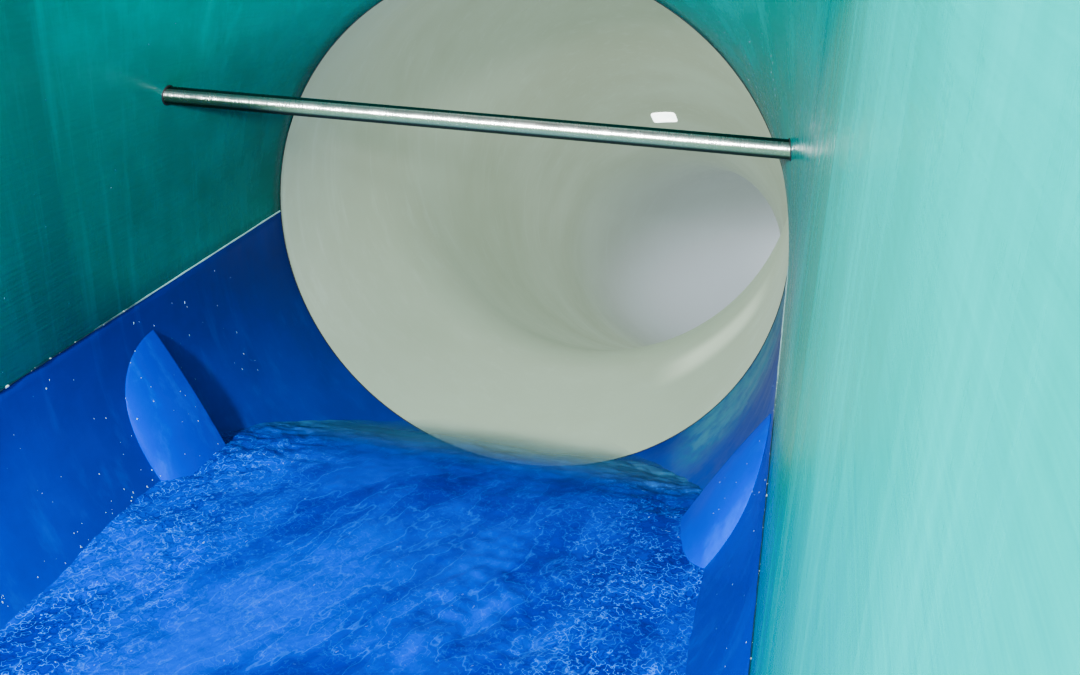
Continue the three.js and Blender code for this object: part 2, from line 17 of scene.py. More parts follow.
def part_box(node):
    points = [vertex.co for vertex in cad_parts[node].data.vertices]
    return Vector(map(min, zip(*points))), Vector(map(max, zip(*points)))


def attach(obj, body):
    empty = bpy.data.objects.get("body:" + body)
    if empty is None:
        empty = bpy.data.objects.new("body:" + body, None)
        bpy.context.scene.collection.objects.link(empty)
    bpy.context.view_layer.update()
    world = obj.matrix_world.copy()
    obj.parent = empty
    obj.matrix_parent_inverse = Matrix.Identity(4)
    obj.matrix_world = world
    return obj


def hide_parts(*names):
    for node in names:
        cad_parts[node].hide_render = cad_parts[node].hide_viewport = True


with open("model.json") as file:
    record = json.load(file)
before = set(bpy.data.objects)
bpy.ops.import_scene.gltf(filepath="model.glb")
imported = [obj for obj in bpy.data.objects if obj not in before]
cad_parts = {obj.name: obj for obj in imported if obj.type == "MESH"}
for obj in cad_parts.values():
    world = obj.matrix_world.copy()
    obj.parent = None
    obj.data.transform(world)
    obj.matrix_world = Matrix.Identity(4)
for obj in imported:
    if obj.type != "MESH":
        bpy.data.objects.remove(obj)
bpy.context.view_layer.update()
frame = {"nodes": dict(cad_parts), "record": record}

node = frame["nodes"]
print("nodes loaded:", len(node))

# %% [markdown]
# ## The measures that several pieces share
# A moulder works from one drawing, so the same few numbers give the tub, the hood and the tube.
# They are in metres. The mouth of the tube is the centre of the drawing: heights on the tub and the
# hood are measured from its axis. What only one piece needs is given beside that piece.

# %% Measures
BORE = 0.600
SKIN = 0.008
FLANGE = 0.060
SEAM_GAP = 0.0003
MOUTH_Y = -0.300
MOUTH_Z = 2.900
TUB_LENGTH = 2.400
BAR_R = 0.01685
BAR_Z = 0.370
MOUTH = Vector((0, MOUTH_Y, MOUTH_Z))
END_Y = MOUTH_Y - TUB_LENGTH
RIM = BORE + SKIN + FLANGE
AXIS_X, AXIS_Y, AXIS_Z = Vector((1, 0, 0)), Vector((0, 1, 0)), Vector((0, 0, 1))
SIDES = ((-1, "left"), (1, "right"))
print("tub from y", END_Y, "to", MOUTH_Y)

# %% [markdown]
# ## The camera
# The picture was taken from the entry end, close to the right wall, looking down into the mouth.
# The mouth is a true circle and the seams run straight to it, which is enough to find the camera.
# Distances from the mouth's centre are in units of the bore's radius, and the lens is worked out for
# a frame 1080 wide. `clip_start` is short because the wall is only 3 cm from the camera.

# %% Camera
PHOTO_WIDTH = 1080
FOCAL_PIXELS = 1100
SENSOR = 36.0
CAMERA_FROM_MOUTH = Vector((0.9541, -3.8831, 1.3560)) * BORE
CAMERA_TURN_LEFT = math.radians(12.66)
CAMERA_TILT_DOWN = math.radians(23.94)
CAMERA_ROLL = math.radians(2.011)


def add_camera():
    data = bpy.data.cameras.new("entry_camera")
    data.sensor_width = SENSOR
    data.lens = SENSOR * FOCAL_PIXELS / PHOTO_WIDTH
    data.clip_start = 0.004
    camera = bpy.data.objects.new("entry_camera", data)
    bpy.context.scene.collection.objects.link(camera)
    turn = Matrix.Rotation(CAMERA_TURN_LEFT, 4, "Z")
    tilt = Matrix.Rotation(math.radians(90) - CAMERA_TILT_DOWN, 4, "X")
    roll = Matrix.Rotation(CAMERA_ROLL, 4, "Z")
    camera.matrix_world = Matrix.Translation(MOUTH + CAMERA_FROM_MOUTH) @ turn @ tilt @ roll
    bpy.context.scene.camera = camera
    return camera


camera = add_camera()
place = [round(v, 3) for v in camera.matrix_world.translation]
print("camera at", place, "lens", round(camera.data.lens, 2))

# %% [markdown]
# ## Working by selection
# Every operator acts on what is selected, so a few helpers do what the mouse does. `open_mesh` opens
# a piece in edit mode, `pick` selects the points, edges or faces that lie where a test says, and
# `pull_edges` extrudes them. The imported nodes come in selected, so they are deselected at the end.

# %% Selecting by place


def only(piece):
    """Select this object and nothing else."""
    for other in list(bpy.context.selected_objects):
        other.select_set(False)
    piece.select_set(True)
    bpy.context.view_layer.objects.active = piece


def open_mesh(piece):
    only(piece)
    bpy.ops.object.mode_set(mode="EDIT")


def close_mesh():
    bpy.ops.object.mode_set(mode="OBJECT")


def pick(piece, test, kind="EDGE"):
    """In edit mode, select the elements whose points all pass the test, and say how many there are."""
    bpy.ops.mesh.select_mode(type=kind)
    bpy.ops.mesh.select_all(action="DESELECT")
    mesh = bmesh.from_edit_mesh(piece.data)
    groups = {"VERT": mesh.verts, "EDGE": mesh.edges, "FACE": mesh.faces}[kind]
    count = 0
    for element in groups:
        points = [element.co] if kind == "VERT" else [v.co for v in element.verts]
        if all(test(p) for p in points):
            element.select = True
            count += 1
    mesh.select_flush_mode()
    bmesh.update_edit_mesh(piece.data)
    return count


def pull_edges(piece, test, step):
    """Extrude the picked edges and leave the new ones selected."""
    pick(piece, test)
    bpy.ops.mesh.extrude_edges_move(TRANSFORM_OT_translate={"value": step})


def near(a, b, reach=1e-4):
    return abs(a - b) < reach


for thing in list(bpy.context.selected_objects):
    thing.select_set(False)
print("still selected:", len(bpy.context.selected_objects))

# %% [markdown]
# ## Starting and finishing a piece
# A finished piece stands at the origin, unturned and unscaled, with its place in its mesh, because
# its pattern is laid on by its own coordinates. So `new_piece` and `put` apply the place at once.
# The others thicken, round, smooth and sign off a piece in the way that every piece here needs.

# %% Starting and finishing a piece
SMOOTH_ANGLE = 35


def new_piece(name):
    """Name the primitive that was just added and put its place into its mesh."""
    piece = bpy.context.object
    piece.name = name
    piece.data.name = name
    only(piece)
    bpy.ops.object.transform_apply(location=True, rotation=True, scale=True)
    return piece


def add_modifier(piece, kind, **settings):
    """Add a modifier, set it and apply it."""
    only(piece)
    modifier = piece.modifiers.new(kind.title(), kind)
    for name, value in settings.items():
        setattr(modifier, name, value)
    bpy.ops.object.modifier_apply(modifier=modifier.name)


def face_out(piece):
    open_mesh(piece)
    bpy.ops.mesh.select_all(action="SELECT")
    bpy.ops.mesh.remove_doubles(threshold=1e-6)
    bpy.ops.mesh.normals_make_consistent(inside=False)
    close_mesh()


def smooth(piece, angle=SMOOTH_ANGLE):
    only(piece)
    bpy.ops.object.shade_smooth_by_angle(angle=math.radians(angle))


def settle(piece, slot, *replaced):
    """Say where a finished piece belongs."""
    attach(piece, "root")
    if replaced:
        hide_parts(*replaced)
    return piece


def put(piece, place, direction=AXIS_Z, turn=0.0):
    """Stand a piece made at the origin at its place, with its own z along a direction."""
    pose = Matrix.Translation(place) @ direction.to_track_quat("Z", "Y").to_matrix().to_4x4()
    piece.matrix_world = pose @ Matrix.Rotation(turn, 4, "Z")
    only(piece)
    bpy.ops.object.transform_apply(location=True, rotation=True, scale=True)


def soften(piece, width, angle=50, segments=2):
    """Take the sharpness off every edge that is sharper than an angle."""
    limit = math.radians(angle)
    add_modifier(piece, "BEVEL", width=width, segments=segments, limit_method="ANGLE", angle_limit=limit)


print("edges under", SMOOTH_ANGLE, "degrees are shaded smooth")

# %% [markdown]
# ## Turned pieces, blocks and copies
# Pipes, poles and washers are round, so half their section is drawn and spun, as on a lathe. Plates
# are blocks with eased edges. What repeats is modelled once and copied, each copy with its own mesh,
# and copies that belong to one joint are joined into one piece.

# %% Turned pieces, blocks and copies


def turned(name, profile, steps=64):
    """A round piece: draw half its section point by point, and spin it about z."""
    bpy.ops.mesh.primitive_plane_add(size=0.01)
    piece = new_piece(name)
    open_mesh(piece)
    bpy.ops.mesh.select_mode(type="VERT")
    bpy.ops.mesh.select_all(action="SELECT")
    bpy.ops.mesh.merge(type="CENTER")
    bpy.ops.transform.translate(value=(profile[0][0], 0, profile[0][1]))
    for (r0, z0), (r1, z1) in zip(profile, profile[1:]):
        bpy.ops.mesh.extrude_region_move(TRANSFORM_OT_translate={"value": (r1 - r0, 0, z1 - z0)})
    bpy.ops.mesh.select_all(action="SELECT")
    bpy.ops.mesh.spin(steps=steps, angle=math.tau, center=(0, 0, 0), axis=(0, 0, 1))
    close_mesh()
    face_out(piece)
    return piece


def block(name, low, high, edge=0.0):
    """A rectangular block between two corners, with its edges eased."""
    bpy.ops.mesh.primitive_cube_add(size=1)
    piece = bpy.context.object
    low, high = Vector(low), Vector(high)
    piece.location = (low + high) / 2
    piece.scale = high - low
    piece = new_piece(name)
    if edge:
        soften(piece, edge)
    return piece


def join(name, pieces):
    """Make one mesh of several."""
    only(pieces[0])
    for piece in pieces[1:]:
        piece.select_set(True)
    if len(pieces) > 1:
        bpy.ops.object.join()
    pieces[0].name = name
    pieces[0].data.name = name
    return pieces[0]


def copy_of(piece):
    """A copy with a mesh of its own."""
    twin = piece.copy()
    twin.data = piece.data.copy()
    bpy.context.scene.collection.objects.link(twin)
    return twin


print("ways to start a piece:", [way.__name__ for way in (turned, block, join, copy_of)])

# %% [markdown]
# ## Shader maths as plain sums
# A material is easier to read as a formula than as a web of nodes. `Value` wraps a socket, so that
# sums on it add Math nodes. The reflected minus lets a plain number stand first, as in 1 - mask.

# %% Shader maths as plain sums


class Value:
    """A socket that can be added, multiplied and so on."""

    def __init__(self, finish, socket):
        self.finish = finish
        self.socket = socket

    def _math(self, operation, first, second):
        return self.finish.node("ShaderNodeMath", {"operation": operation}, [first, second])

    def __add__(self, other):
        return self._math("ADD", self, other)

    def __sub__(self, other):
        return self._math("SUBTRACT", self, other)

    def __rsub__(self, other):
        return self._math("SUBTRACT", other, self)

    def __mul__(self, other):
        return self._math("MULTIPLY", self, other)

    def __truediv__(self, other):
        return self._math("DIVIDE", self, other)

    def __abs__(self):
        return self._math("ABSOLUTE", self, 0.0)


print("sums that a socket knows: + - * / and abs")

# %% [markdown]
# ## One material at a time
# `Finish` holds one material. Its `node` method adds any node from its type, settings and inputs, and
# the short methods after it are the few patterns that all finishes here are mixed from: a cloud for
# drift and dirt, cells for crystals, a band to fade across a range, a blend of two colours, a bump.

# %% One material at a time


class Finish:
    """One material, built round one Principled shader."""

    def __init__(self, name, **constants):
        self.material = bpy.data.materials.new(name)
        self.material.use_nodes = True
        self.tree = self.material.node_tree
        self.shader = self.tree.nodes["Principled BSDF"]
        for key, value in constants.items():
            self.shader.inputs[key.replace("_", " ")].default_value = value
        self.place = self.node("ShaderNodeTexCoord", {}, {}, output="Object")

    def node(self, kind, settings, inputs, output=0):
        made = self.tree.nodes.new(kind)
        for key, value in settings.items():
            setattr(made, key, value)
        pairs = inputs.items() if isinstance(inputs, dict) else enumerate(inputs)
        for key, value in pairs:
            if isinstance(value, Value):
                self.tree.links.new(value.socket, made.inputs[key])
            else:
                made.inputs[key].default_value = value
        return Value(self, made.outputs[output])

    def stretched(self, x, y, z, turn=0.0):
        """The object's own coordinates, turned in plan and then scaled along each axis."""
        turned = self.node("ShaderNodeMapping", {}, {"Vector": self.place, "Rotation": (0, 0, turn)})
        return self.node("ShaderNodeMapping", {}, {"Vector": turned, "Scale": (x, y, z)})

    def cloud(self, scale, detail=4, roughness=0.55, where=None):
        return self.node(
            "ShaderNodeTexNoise",
            {},
            {"Vector": where or self.place, "Scale": scale, "Detail": detail, "Roughness": roughness},
        )

    def cells(self, scale, output=0):
        return self.node("ShaderNodeTexVoronoi", {}, {"Vector": self.place, "Scale": scale}, output=output)

    def band(self, value, low, high, to_low=0.0, to_high=1.0):
        """Fade from one number to another as a value crosses a range."""
        return self.node(
            "ShaderNodeMapRange",
            {"interpolation_type": "SMOOTHSTEP"},
            {"Value": value, "From Min": low, "From Max": high, "To Min": to_low, "To Max": to_high},
        )

    def blend(self, share, first, second):
        return self.node(
            "ShaderNodeMix", {"data_type": "RGBA"}, {"Factor": share, 6: first, 7: second}, output=2
        )

    def axis(self, name):
        return self.node("ShaderNodeSeparateXYZ", {}, {"Vector": self.place}, output=name)

    def bump(self, height, strength, distance, after=None):
        inputs = {"Height": height, "Strength": strength, "Distance": distance}
        if after is not None:
            inputs["Normal"] = after
        return self.node("ShaderNodeBump", {}, inputs)

    def drive(self, **sockets):
        for key, value in sockets.items():
            self.tree.links.new(value.socket, self.shader.inputs[key.replace("_", " ")])
        return self.material


def rgb(red, green, blue):
    """A screen colour, 0 to 255, as the linear colour that a shader wants."""
    shares = [c / 255 for c in (red, green, blue)]
    return (*(((c + 0.055) / 1.055) ** 2.4 if c > 0.0393 else c / 12.92 for c in shares), 1)


print("a middle grey of 128 is", round(rgb(128, 128, 128)[0], 3), "to a shader")

# %% [markdown]
# ## Gelcoat: teal, blue and pale
# The shells are glass-fibre laminate with a coloured gelcoat, polished in the mould. Its gloss is not
# perfectly flat: the fibres print through as soft waves, and that is what breaks up the reflections.
# One function makes all the colours: a broad cloud for the colour's drift, long upright runs for the
# haze of dried water, and bumps for the waves and for the faint orange-peel skin. The teal walls are
# also lightly brushed along, from years of wiping.

# %% Gelcoat


def gelcoat(name, deep, light, haze, roughness, wave, overlay_with_painted_light=None, glow=0.0, brushed=0.0):
    finish = Finish(name, IOR=1.35, Specular_IOR_Level=0.1, Coat_Roughness=0.14, Emission_Strength=glow)
    drift = finish.cloud(1.4, 3)
    mottle = finish.cloud(9.0, 6, 0.7)
    runs = finish.cloud(3.0, 7, 0.65, finish.stretched(7.0, 7.0, 0.35))
    share = finish.band(drift * 0.7 + mottle * 0.3, 0.36, 0.64)
    colour = finish.blend(share, deep, light)
    colour = finish.blend(finish.band(runs, 0.50, 0.72, 0.0, 0.35), colour, haze)
    colour = finish.blend(finish.band(runs, 0.28, 0.48, 0.3, 0.0), colour, deep)
    # An overlay paints light and shade over the colour, and some add haze as well.
    if overlay_with_painted_light:
        colour = overlay_with_painted_light(finish, colour)
    waves = finish.bump(finish.cloud(2.2, 2), wave, 0.02)
    if brushed:
        strokes = finish.cloud(50.0, 3, 0.6, finish.stretched(0.2, 0.2, 3.0))
        waves = finish.bump(strokes, brushed, 0.001, waves)
    skin = finish.bump(finish.cloud(160.0, 2), 0.02, 0.001, waves)
    rough = finish.band(mottle * 0.4 + runs * 0.6, 0.35, 0.65, roughness - 0.06, roughness + 0.08)
    coat = finish.band(mottle, 0.3, 0.7, 0.0, 0.05)
    sockets = dict(Base_Color=colour, Roughness=rough, Coat_Weight=coat, Normal=skin)
    # A glowing gelcoat gets a painted glow in its own colour.
    if glow:
        sockets["Emission_Color"] = colour
    return finish.drive(**sockets)


print("one recipe for teal, blue and pale gelcoat is ready")

# %% [markdown]
# ## Haze and painted light on the shells
# Two places differ from the rest of their shell. On the right of the tub, just before the mouth, a
# paler patch is partly dried spray haze and partly painted light. In the tube, the first floor has
# painted shade and a pale streak of painted glare. Each is a colour laid over the gelcoat, and a mask
# made of bands along the axes says where. The tube also gets painted shade and painted light at its
# far end in this way.

# %% Spray haze, painted light and painted shade


def spray_haze_and_painted_light(finish, colour):
    """A paler patch on the tub's right, just before the mouth: partly spray haze, partly painted light."""
    by_mouth = finish.band(finish.axis("Y"), -0.62, -0.42) * finish.band(finish.axis("X"), 0.36, 0.48)
    share = by_mouth * finish.band(finish.cloud(24.0, 5, 0.7), 0.35, 0.6, 0.45, 0.95)
    # Partly dried spray haze and partly painted light.
    return finish.blend(share, colour, rgb(70, 150, 184))


def painted_far_light_and_shade(finish, colour):
    """Painted light and shade in the tube: darker far end, brighter low far part, darker first floor, pale
    glare.
    """
    # Painted shade: the far end is darker and cooler.
    far = finish.band(finish.axis("Y"), 3.0, 5.2)
    colour = finish.blend(far * 0.7, colour, rgb(134, 144, 146))
    low = finish.band(finish.axis("Z"), 1.45, 0.70)
    # Painted shade: the first floor is darker.
    wear_and_painted_shade = finish.band(finish.axis("Y"), 0.9, 0.1) * finish.band(finish.axis("Z"), 2.8, 2.4)
    colour = finish.blend(wear_and_painted_shade * 0.6, colour, rgb(132, 148, 132))
    # Painted glare: a pale streak low on the first floor's right.
    painted_glare = finish.band(abs(finish.axis("Y") - 0.16), 0.02, 0.12, 1.0, 0.0)
    painted_glare = painted_glare * finish.band(finish.axis("X"), 0.26, 0.40)
    painted_glare = painted_glare * finish.band(finish.axis("Z"), 2.72, 2.58)
    painted_glare = painted_glare * finish.band(finish.cloud(3.0, 2), 0.2, 0.6, 0.5, 0.8)
    colour = finish.blend(painted_glare, colour, rgb(190, 202, 186))
    # Painted light: where the far end runs low it is brighter.
    return finish.blend(far * low, colour, rgb(182, 190, 196))


print("overlays ready:", spray_haze_and_painted_light.__name__, "and", painted_far_light_and_shade.__name__)

# %% [markdown]
# ## The colours of the shells
# Each gelcoat is three tones of one colour: the deep one where it is clean, the light one, and the
# haze. The inside of the tube is a darker pale with a little painted glow, an emission that stands for
# daylight soaking through the pale laminate, and its outside has none. That is why the tube has two
# materials.

# %% The colours of the shells
TEAL = rgb(0, 111, 102), rgb(0, 132, 126), rgb(14, 154, 148)
BLUE = rgb(0, 47, 150), rgb(0, 60, 178), rgb(6, 88, 198)
SCOOP_BLUE = rgb(2, 50, 164), rgb(4, 60, 182), rgb(20, 92, 208)
PALE = rgb(176, 186, 174), rgb(186, 196, 186), rgb(204, 210, 206)
LIT_PALE = rgb(156, 168, 152), rgb(164, 178, 164), rgb(176, 190, 180)

teal_gelcoat = gelcoat("teal_gelcoat", *TEAL, roughness=0.26, wave=0.25, brushed=0.5)
blue_gelcoat = gelcoat("blue_gelcoat", *BLUE, roughness=0.34, wave=0.2)
blue_gelcoat_haze_and_painted_light = gelcoat("blue_gelcoat_haze_and_painted_light", *BLUE, roughness=0.34, wave=0.2, overlay_with_painted_light=spray_haze_and_painted_light)
scoop_gelcoat = gelcoat("scoop_gelcoat", *SCOOP_BLUE, roughness=0.46, wave=0.1)
pale_gelcoat = gelcoat("pale_gelcoat", *PALE, roughness=0.36, wave=0.2)
lit_gelcoat = gelcoat("lit_pale_gelcoat", *LIT_PALE, roughness=0.4, wave=0.1, overlay_with_painted_light=painted_far_light_and_shade, glow=0.46)
for coat in (teal_gelcoat, blue_gelcoat_haze_and_painted_light, lit_gelcoat):
    print(coat.name, "has", len(coat.node_tree.nodes), "nodes")

# %% [markdown]
# ## Polished bar
# The bar is stainless tube, belt-polished in fine rings around it. The rings spread every highlight
# along the bar, which is why it shows one bright line from end to end. Its colour also carries painted
# shade and painted reflections in bands by the height around the bar, and the plates get the same
# steel without them.

# %% Polished bar


def polished_bar(name, painted_shading):
    """Stainless with painted shade and painted reflections in bands by height, weighted by the second
    argument.
    """
    finish = Finish(name)
    grooves = finish.cloud(1.0, 2, 0.5, finish.stretched(1100.0, 6.0, 6.0))
    spots = finish.cloud(30.0, 5)
    dried = finish.band(finish.cloud(170.0, 3), 0.62, 0.70, 0.0, 0.35)
    height = (finish.axis("Z") - (MOUTH_Z + BAR_Z)) / BAR_R
    # Painted bands by height: below the middle a grey-green painted reflection of the teal walls, with less
    # metal except near the left end; painted shade underneath; painted grey above the middle; and a dark
    # painted crest.
    painted_teal_reflection = finish.band(height, 0.20, 0.00, 0.0, painted_shading)
    less_metal_for_painted_reflection = painted_teal_reflection * finish.band(finish.axis("X"), -0.42, -0.28)
    under = finish.band(height, -0.28, -0.62, 0.0, painted_shading)
    above = finish.band(height, 0.50, 0.72, 0.0, painted_shading)
    painted_crest_shade = finish.band(height, 0.80, 0.88, 0.0, painted_shading)
    colour = finish.blend(finish.band(spots, 0.35, 0.7), rgb(200, 204, 198), rgb(226, 229, 224))
    colour = finish.blend(dried, colour, rgb(150, 160, 160))
    # The painted reflection and painted shade are laid over the steel's own tone and water spots.
    colour = finish.blend(painted_teal_reflection, colour, rgb(112, 144, 118))
    colour = finish.blend(under * 0.95, colour, rgb(34, 46, 38))
    colour = finish.blend(above, colour, rgb(150, 158, 150))
    colour = finish.blend(painted_crest_shade * 0.95, colour, rgb(44, 58, 50))
    rough = finish.band(spots, 0.35, 0.75, 0.24, 0.30) + under * 0.15
    metal = 0.97 - less_metal_for_painted_reflection * 0.42
    rings = finish.bump(grooves, 0.8, 0.0008)
    return finish.drive(Base_Color=colour, Metallic=metal, Roughness=rough, Normal=rings)


# The plates get no painted bands, and the bar gets them in full.
stainless = polished_bar("polished_stainless", painted_shading=0.0)
painted_shading_stainless = polished_bar("painted_shading_stainless", painted_shading=1.0)
# The painted bands are centred on this height.
print("bar banded around height", MOUTH_Z + BAR_Z)

# %% [markdown]
# ## Zinc, rubber and pipe plastic
# The stand is dipped in zinc, which sets in flat crystals of slightly different greys. A Voronoi
# texture gives both the crystals' edges, for the bump, and one random tone for each crystal.
# Rubber and pipe plastic are dull and a little dusty.

# %% Zinc, rubber and pipe plastic
CRYSTALS = 70.0


def zinc():
    finish = Finish("galvanised_zinc", Metallic=0.85)
    crystals = finish.cells(CRYSTALS)
    tones = finish.cells(CRYSTALS, output="Color")
    tint = finish.node("ShaderNodeSeparateColor", {}, {"Color": tones})
    dirt = finish.cloud(3.0, 6, 0.65)
    spangle = finish.blend(tint, rgb(148, 153, 156), rgb(170, 175, 178))
    colour = finish.blend(finish.band(dirt, 0.55, 0.8, 0.0, 0.5), spangle, rgb(112, 114, 112))
    rough = finish.band(tint * 0.4 + dirt * 0.6, 0.2, 0.8, 0.40, 0.58)
    return finish.drive(Base_Color=colour, Roughness=rough, Normal=finish.bump(crystals, 0.05, 0.002))


def dull(name, dark, light, roughness):
    finish = Finish(name)
    dust = finish.cloud(14.0, 6, 0.7)
    grain = finish.cloud(300.0, 2)
    colour = finish.blend(finish.band(dust, 0.4, 0.75), dark, light)
    rough = finish.band(dust, 0.3, 0.7, roughness, roughness + 0.15)
    return finish.drive(Base_Color=colour, Roughness=rough, Normal=finish.bump(grain, 0.1, 0.0005))


galvanised = zinc()
black_rubber = dull("black_rubber", rgb(18, 19, 20), rgb(34, 35, 36), roughness=0.6)
grey_pipe = dull("grey_pipe", rgb(84, 90, 94), rgb(104, 110, 114), roughness=0.4)
print("finishes so far:", [material.name for material in bpy.data.materials if material.users == 0])

# %% [markdown]
# ## The tub
# The tub is a half-pipe moulding with its joint flanges turned outwards in one piece with it.
# By hand: take an open pipe, cut away its upper half, and pull the free edges outwards. Solidify then
# gives the laminate its thickness on the outside, so that the inside keeps the size on the drawing.

# %% Tub
ROUND = 192
EDGE = 0.0015
STAY = (0, 0, 0)


def add_tub():
    bpy.ops.mesh.primitive_cylinder_add(
        vertices=ROUND,
        radius=BORE,
        depth=TUB_LENGTH - 2 * SEAM_GAP,
        end_fill_type="NOTHING",
        location=(0, MOUTH_Y - TUB_LENGTH / 2, MOUTH_Z),
        rotation=(math.radians(90), 0, 0),
    )
    tub = new_piece("start_tub")
    open_mesh(tub)
    bpy.ops.mesh.select_all(action="SELECT")
    bpy.ops.mesh.bisect(plane_co=(0, 0, MOUTH_Z - SEAM_GAP), plane_no=(0, 0, 1), clear_outer=True)
    seam = MOUTH_Z - SEAM_GAP
    for side in (-1, 1):
        outwards = (side * (RIM - BORE), 0, 0)
        pull_edges(tub, lambda p: near(p.z, seam) and near(p.x, side * BORE, 1e-3), outwards)
    grow = RIM / BORE
    for y in (MOUTH_Y - SEAM_GAP, END_Y + SEAM_GAP):
        pull_edges(tub, lambda p: near(p.y, y) and near(math.hypot(p.x, p.z - MOUTH_Z), BORE, 1e-3), STAY)
        bpy.ops.transform.resize(value=(grow, 1, grow), center_override=(0, y, MOUTH_Z))
    close_mesh()
    print("tub points before its thickness:", len(tub.data.vertices))
    return tub


def give_thickness(piece, outward, thickness=SKIN, **settings):
    """Check which way the sheet faces, turn it if need be, and thicken it outwards."""
    face = min(piece.data.polygons, key=lambda f: (f.center - outward[0]).length)
    if face.normal.dot(outward[1]) < 0:
        piece.data.flip_normals()
    add_modifier(piece, "SOLIDIFY", thickness=thickness, offset=1.0, use_even_offset=True, **settings)


tub = add_tub()
tub.data.materials.append(blue_gelcoat)
tub.data.materials.append(blue_gelcoat_haze_and_painted_light)
give_thickness(tub, (Vector((0, -1.5, MOUTH_Z - BORE)), -AXIS_Z), material_offset=1)
soften(tub, EDGE)
smooth(tub)
settle(tub, "blue_grp", "start_tub_shell")
print("and after it:", len(tub.data.vertices))

# %% [markdown]
# ## The hood
# The hood's section is an ellipse: as wide as the tube, and taller the further it is from the mouth,
# until its sides stand upright. So one half is drawn from the mouth's quarter circle, pulled upstream
# edge by edge, and stretched upwards a little more at every step. A level cut opens the top.

# %% The hood's surface
HOOD_HEIGHT = 0.930
HOOD_DEPTH = 0.815
HOOD_BLEND = 1.6
HOOD_STEPS = 36
QUARTER = 48


def hood_blend(y):
    """How far the section has closed at y from the mouth: 0 is upright walls, 1 is the round mouth."""
    return max(0.0, (y + HOOD_DEPTH) / HOOD_DEPTH) ** HOOD_BLEND


def hood_half_width(y, z):
    inside = 1 - hood_blend(y) * (z / BORE) ** 2
    return BORE * math.sqrt(inside) if inside > 0 else 0.0


def hood_rate(y):
    """How fast the section closes at y."""
    if y <= -HOOD_DEPTH:
        return 0.0
    return HOOD_BLEND * ((y + HOOD_DEPTH) / HOOD_DEPTH) ** (HOOD_BLEND - 1) / HOOD_DEPTH


def add_hood_half(side):
    bpy.ops.mesh.primitive_circle_add(
        vertices=4 * QUARTER,
        radius=BORE,
        location=(0, MOUTH_Y - SEAM_GAP, MOUTH_Z),
        rotation=(math.radians(90), 0, 0),
    )
    hood = new_piece("right_hood" if side > 0 else "left_hood")
    open_mesh(hood)
    outside = pick(hood, lambda p: p.x * side < -1e-5 or p.z < MOUTH_Z - 1e-5, "VERT")
    bpy.ops.mesh.delete(type="VERT")
    y = MOUTH_Y - SEAM_GAP
    tall = 1.0
    for step in range(1, HOOD_STEPS):
        share = 1 - (step / HOOD_STEPS) ** 0.8
        next_y = MOUTH_Y - HOOD_DEPTH * (1 - share)
        taller = 1 / math.sqrt(hood_blend(next_y - MOUTH_Y))
        pull_edges(hood, lambda p: near(p.y, y), (0, next_y - y, 0))
        bpy.ops.transform.resize(value=(1, 1, taller / tall), center_override=(0, next_y, MOUTH_Z))
        y, tall = next_y, taller
    pull_edges(hood, lambda p: near(p.y, y), (0, END_Y - y, 0))
    bpy.ops.mesh.select_all(action="SELECT")
    top = MOUTH_Z + HOOD_HEIGHT
    bpy.ops.mesh.bisect(plane_co=(0, 0, top), plane_no=(0, 0, 1), clear_outer=True)
    close_mesh()
    print(hood.name, "points dropped from the circle:", outside, "points now:", len(hood.data.vertices))
    return hood


hood_halves = {side: add_hood_half(side) for side in (-1, 1)}

# %% [markdown]
# ## The hood's flanges
# Every free edge of a moulded shell is turned outwards. It stiffens the sheet and takes the bolts.
# Along the top the flange follows the wall's own outward direction, and at the other edges it points
# away from the slide's axis. At the crown the two halves meet in an upright flange.

# %% The hood's flanges
HOOD_FRONT = HOOD_DEPTH * ((BORE / HOOD_HEIGHT) ** (2 / HOOD_BLEND) - 1)


def turn_out(piece, test, outward):
    """Pull a free edge outwards into a flange, each point its own way."""
    pull_edges(piece, test, STAY)
    mesh = bmesh.from_edit_mesh(piece.data)
    for vert in mesh.verts:
        if vert.select:
            vert.co += outward(vert.co)
    bmesh.update_edit_mesh(piece.data)


def hood_outward(point):
    """The level direction away from the hood's inside at a point of its surface."""
    y, z = point.y - MOUTH_Y, point.z - MOUTH_Z
    return Vector((2 * point.x, z * z * hood_rate(y), 0)).normalized()


def add_hood_flanges(hood, side):
    top = MOUTH_Z + HOOD_HEIGHT
    mouth = MOUTH_Y - SEAM_GAP
    wide = RIM - BORE
    sideways = Vector((side * wide, 0, 0))
    open_mesh(hood)
    turn_out(hood, lambda p: near(p.z, top), lambda p: hood_outward(p) * FLANGE)
    turn_out(hood, lambda p: near(p.z, MOUTH_Z) and abs(p.x) < BORE + 1e-3, lambda p: sideways)
    turn_out(
        hood,
        lambda p: near(p.y, mouth) and math.hypot(p.x, p.z - MOUTH_Z) < BORE + 1e-3,
        lambda p: Vector((p.x, 0, p.z - MOUTH_Z)).normalized() * wide,
    )
    turn_out(
        hood,
        lambda p: near(p.y, END_Y) and near(abs(p.x), BORE, 2e-3) and p.z < top + 1e-4,
        lambda p: sideways,
    )
    crown = SKIN + 1.4 * FLANGE
    turn_out(
        hood,
        lambda p: near(p.x, 0, 1e-3) and p.y > MOUTH_Y + HOOD_FRONT - 0.02 and p.y < mouth + 1e-4,
        lambda p: Vector((0, 0, max(0.0, min(crown, top - p.z)))),
    )
    close_mesh()


for side, word in SIDES:
    hood = hood_halves[side]
    add_hood_flanges(hood, side)
    give_thickness(hood, (Vector((side * BORE, -1.8, MOUTH_Z + 0.3)), side * AXIS_X))
    soften(hood, EDGE)
    smooth(hood)
    hood.data.materials.append(teal_gelcoat)
    settle(hood, "teal_grp", f"{word}_hood_half")
    print(hood.name, "faces:", len(hood.data.polygons))

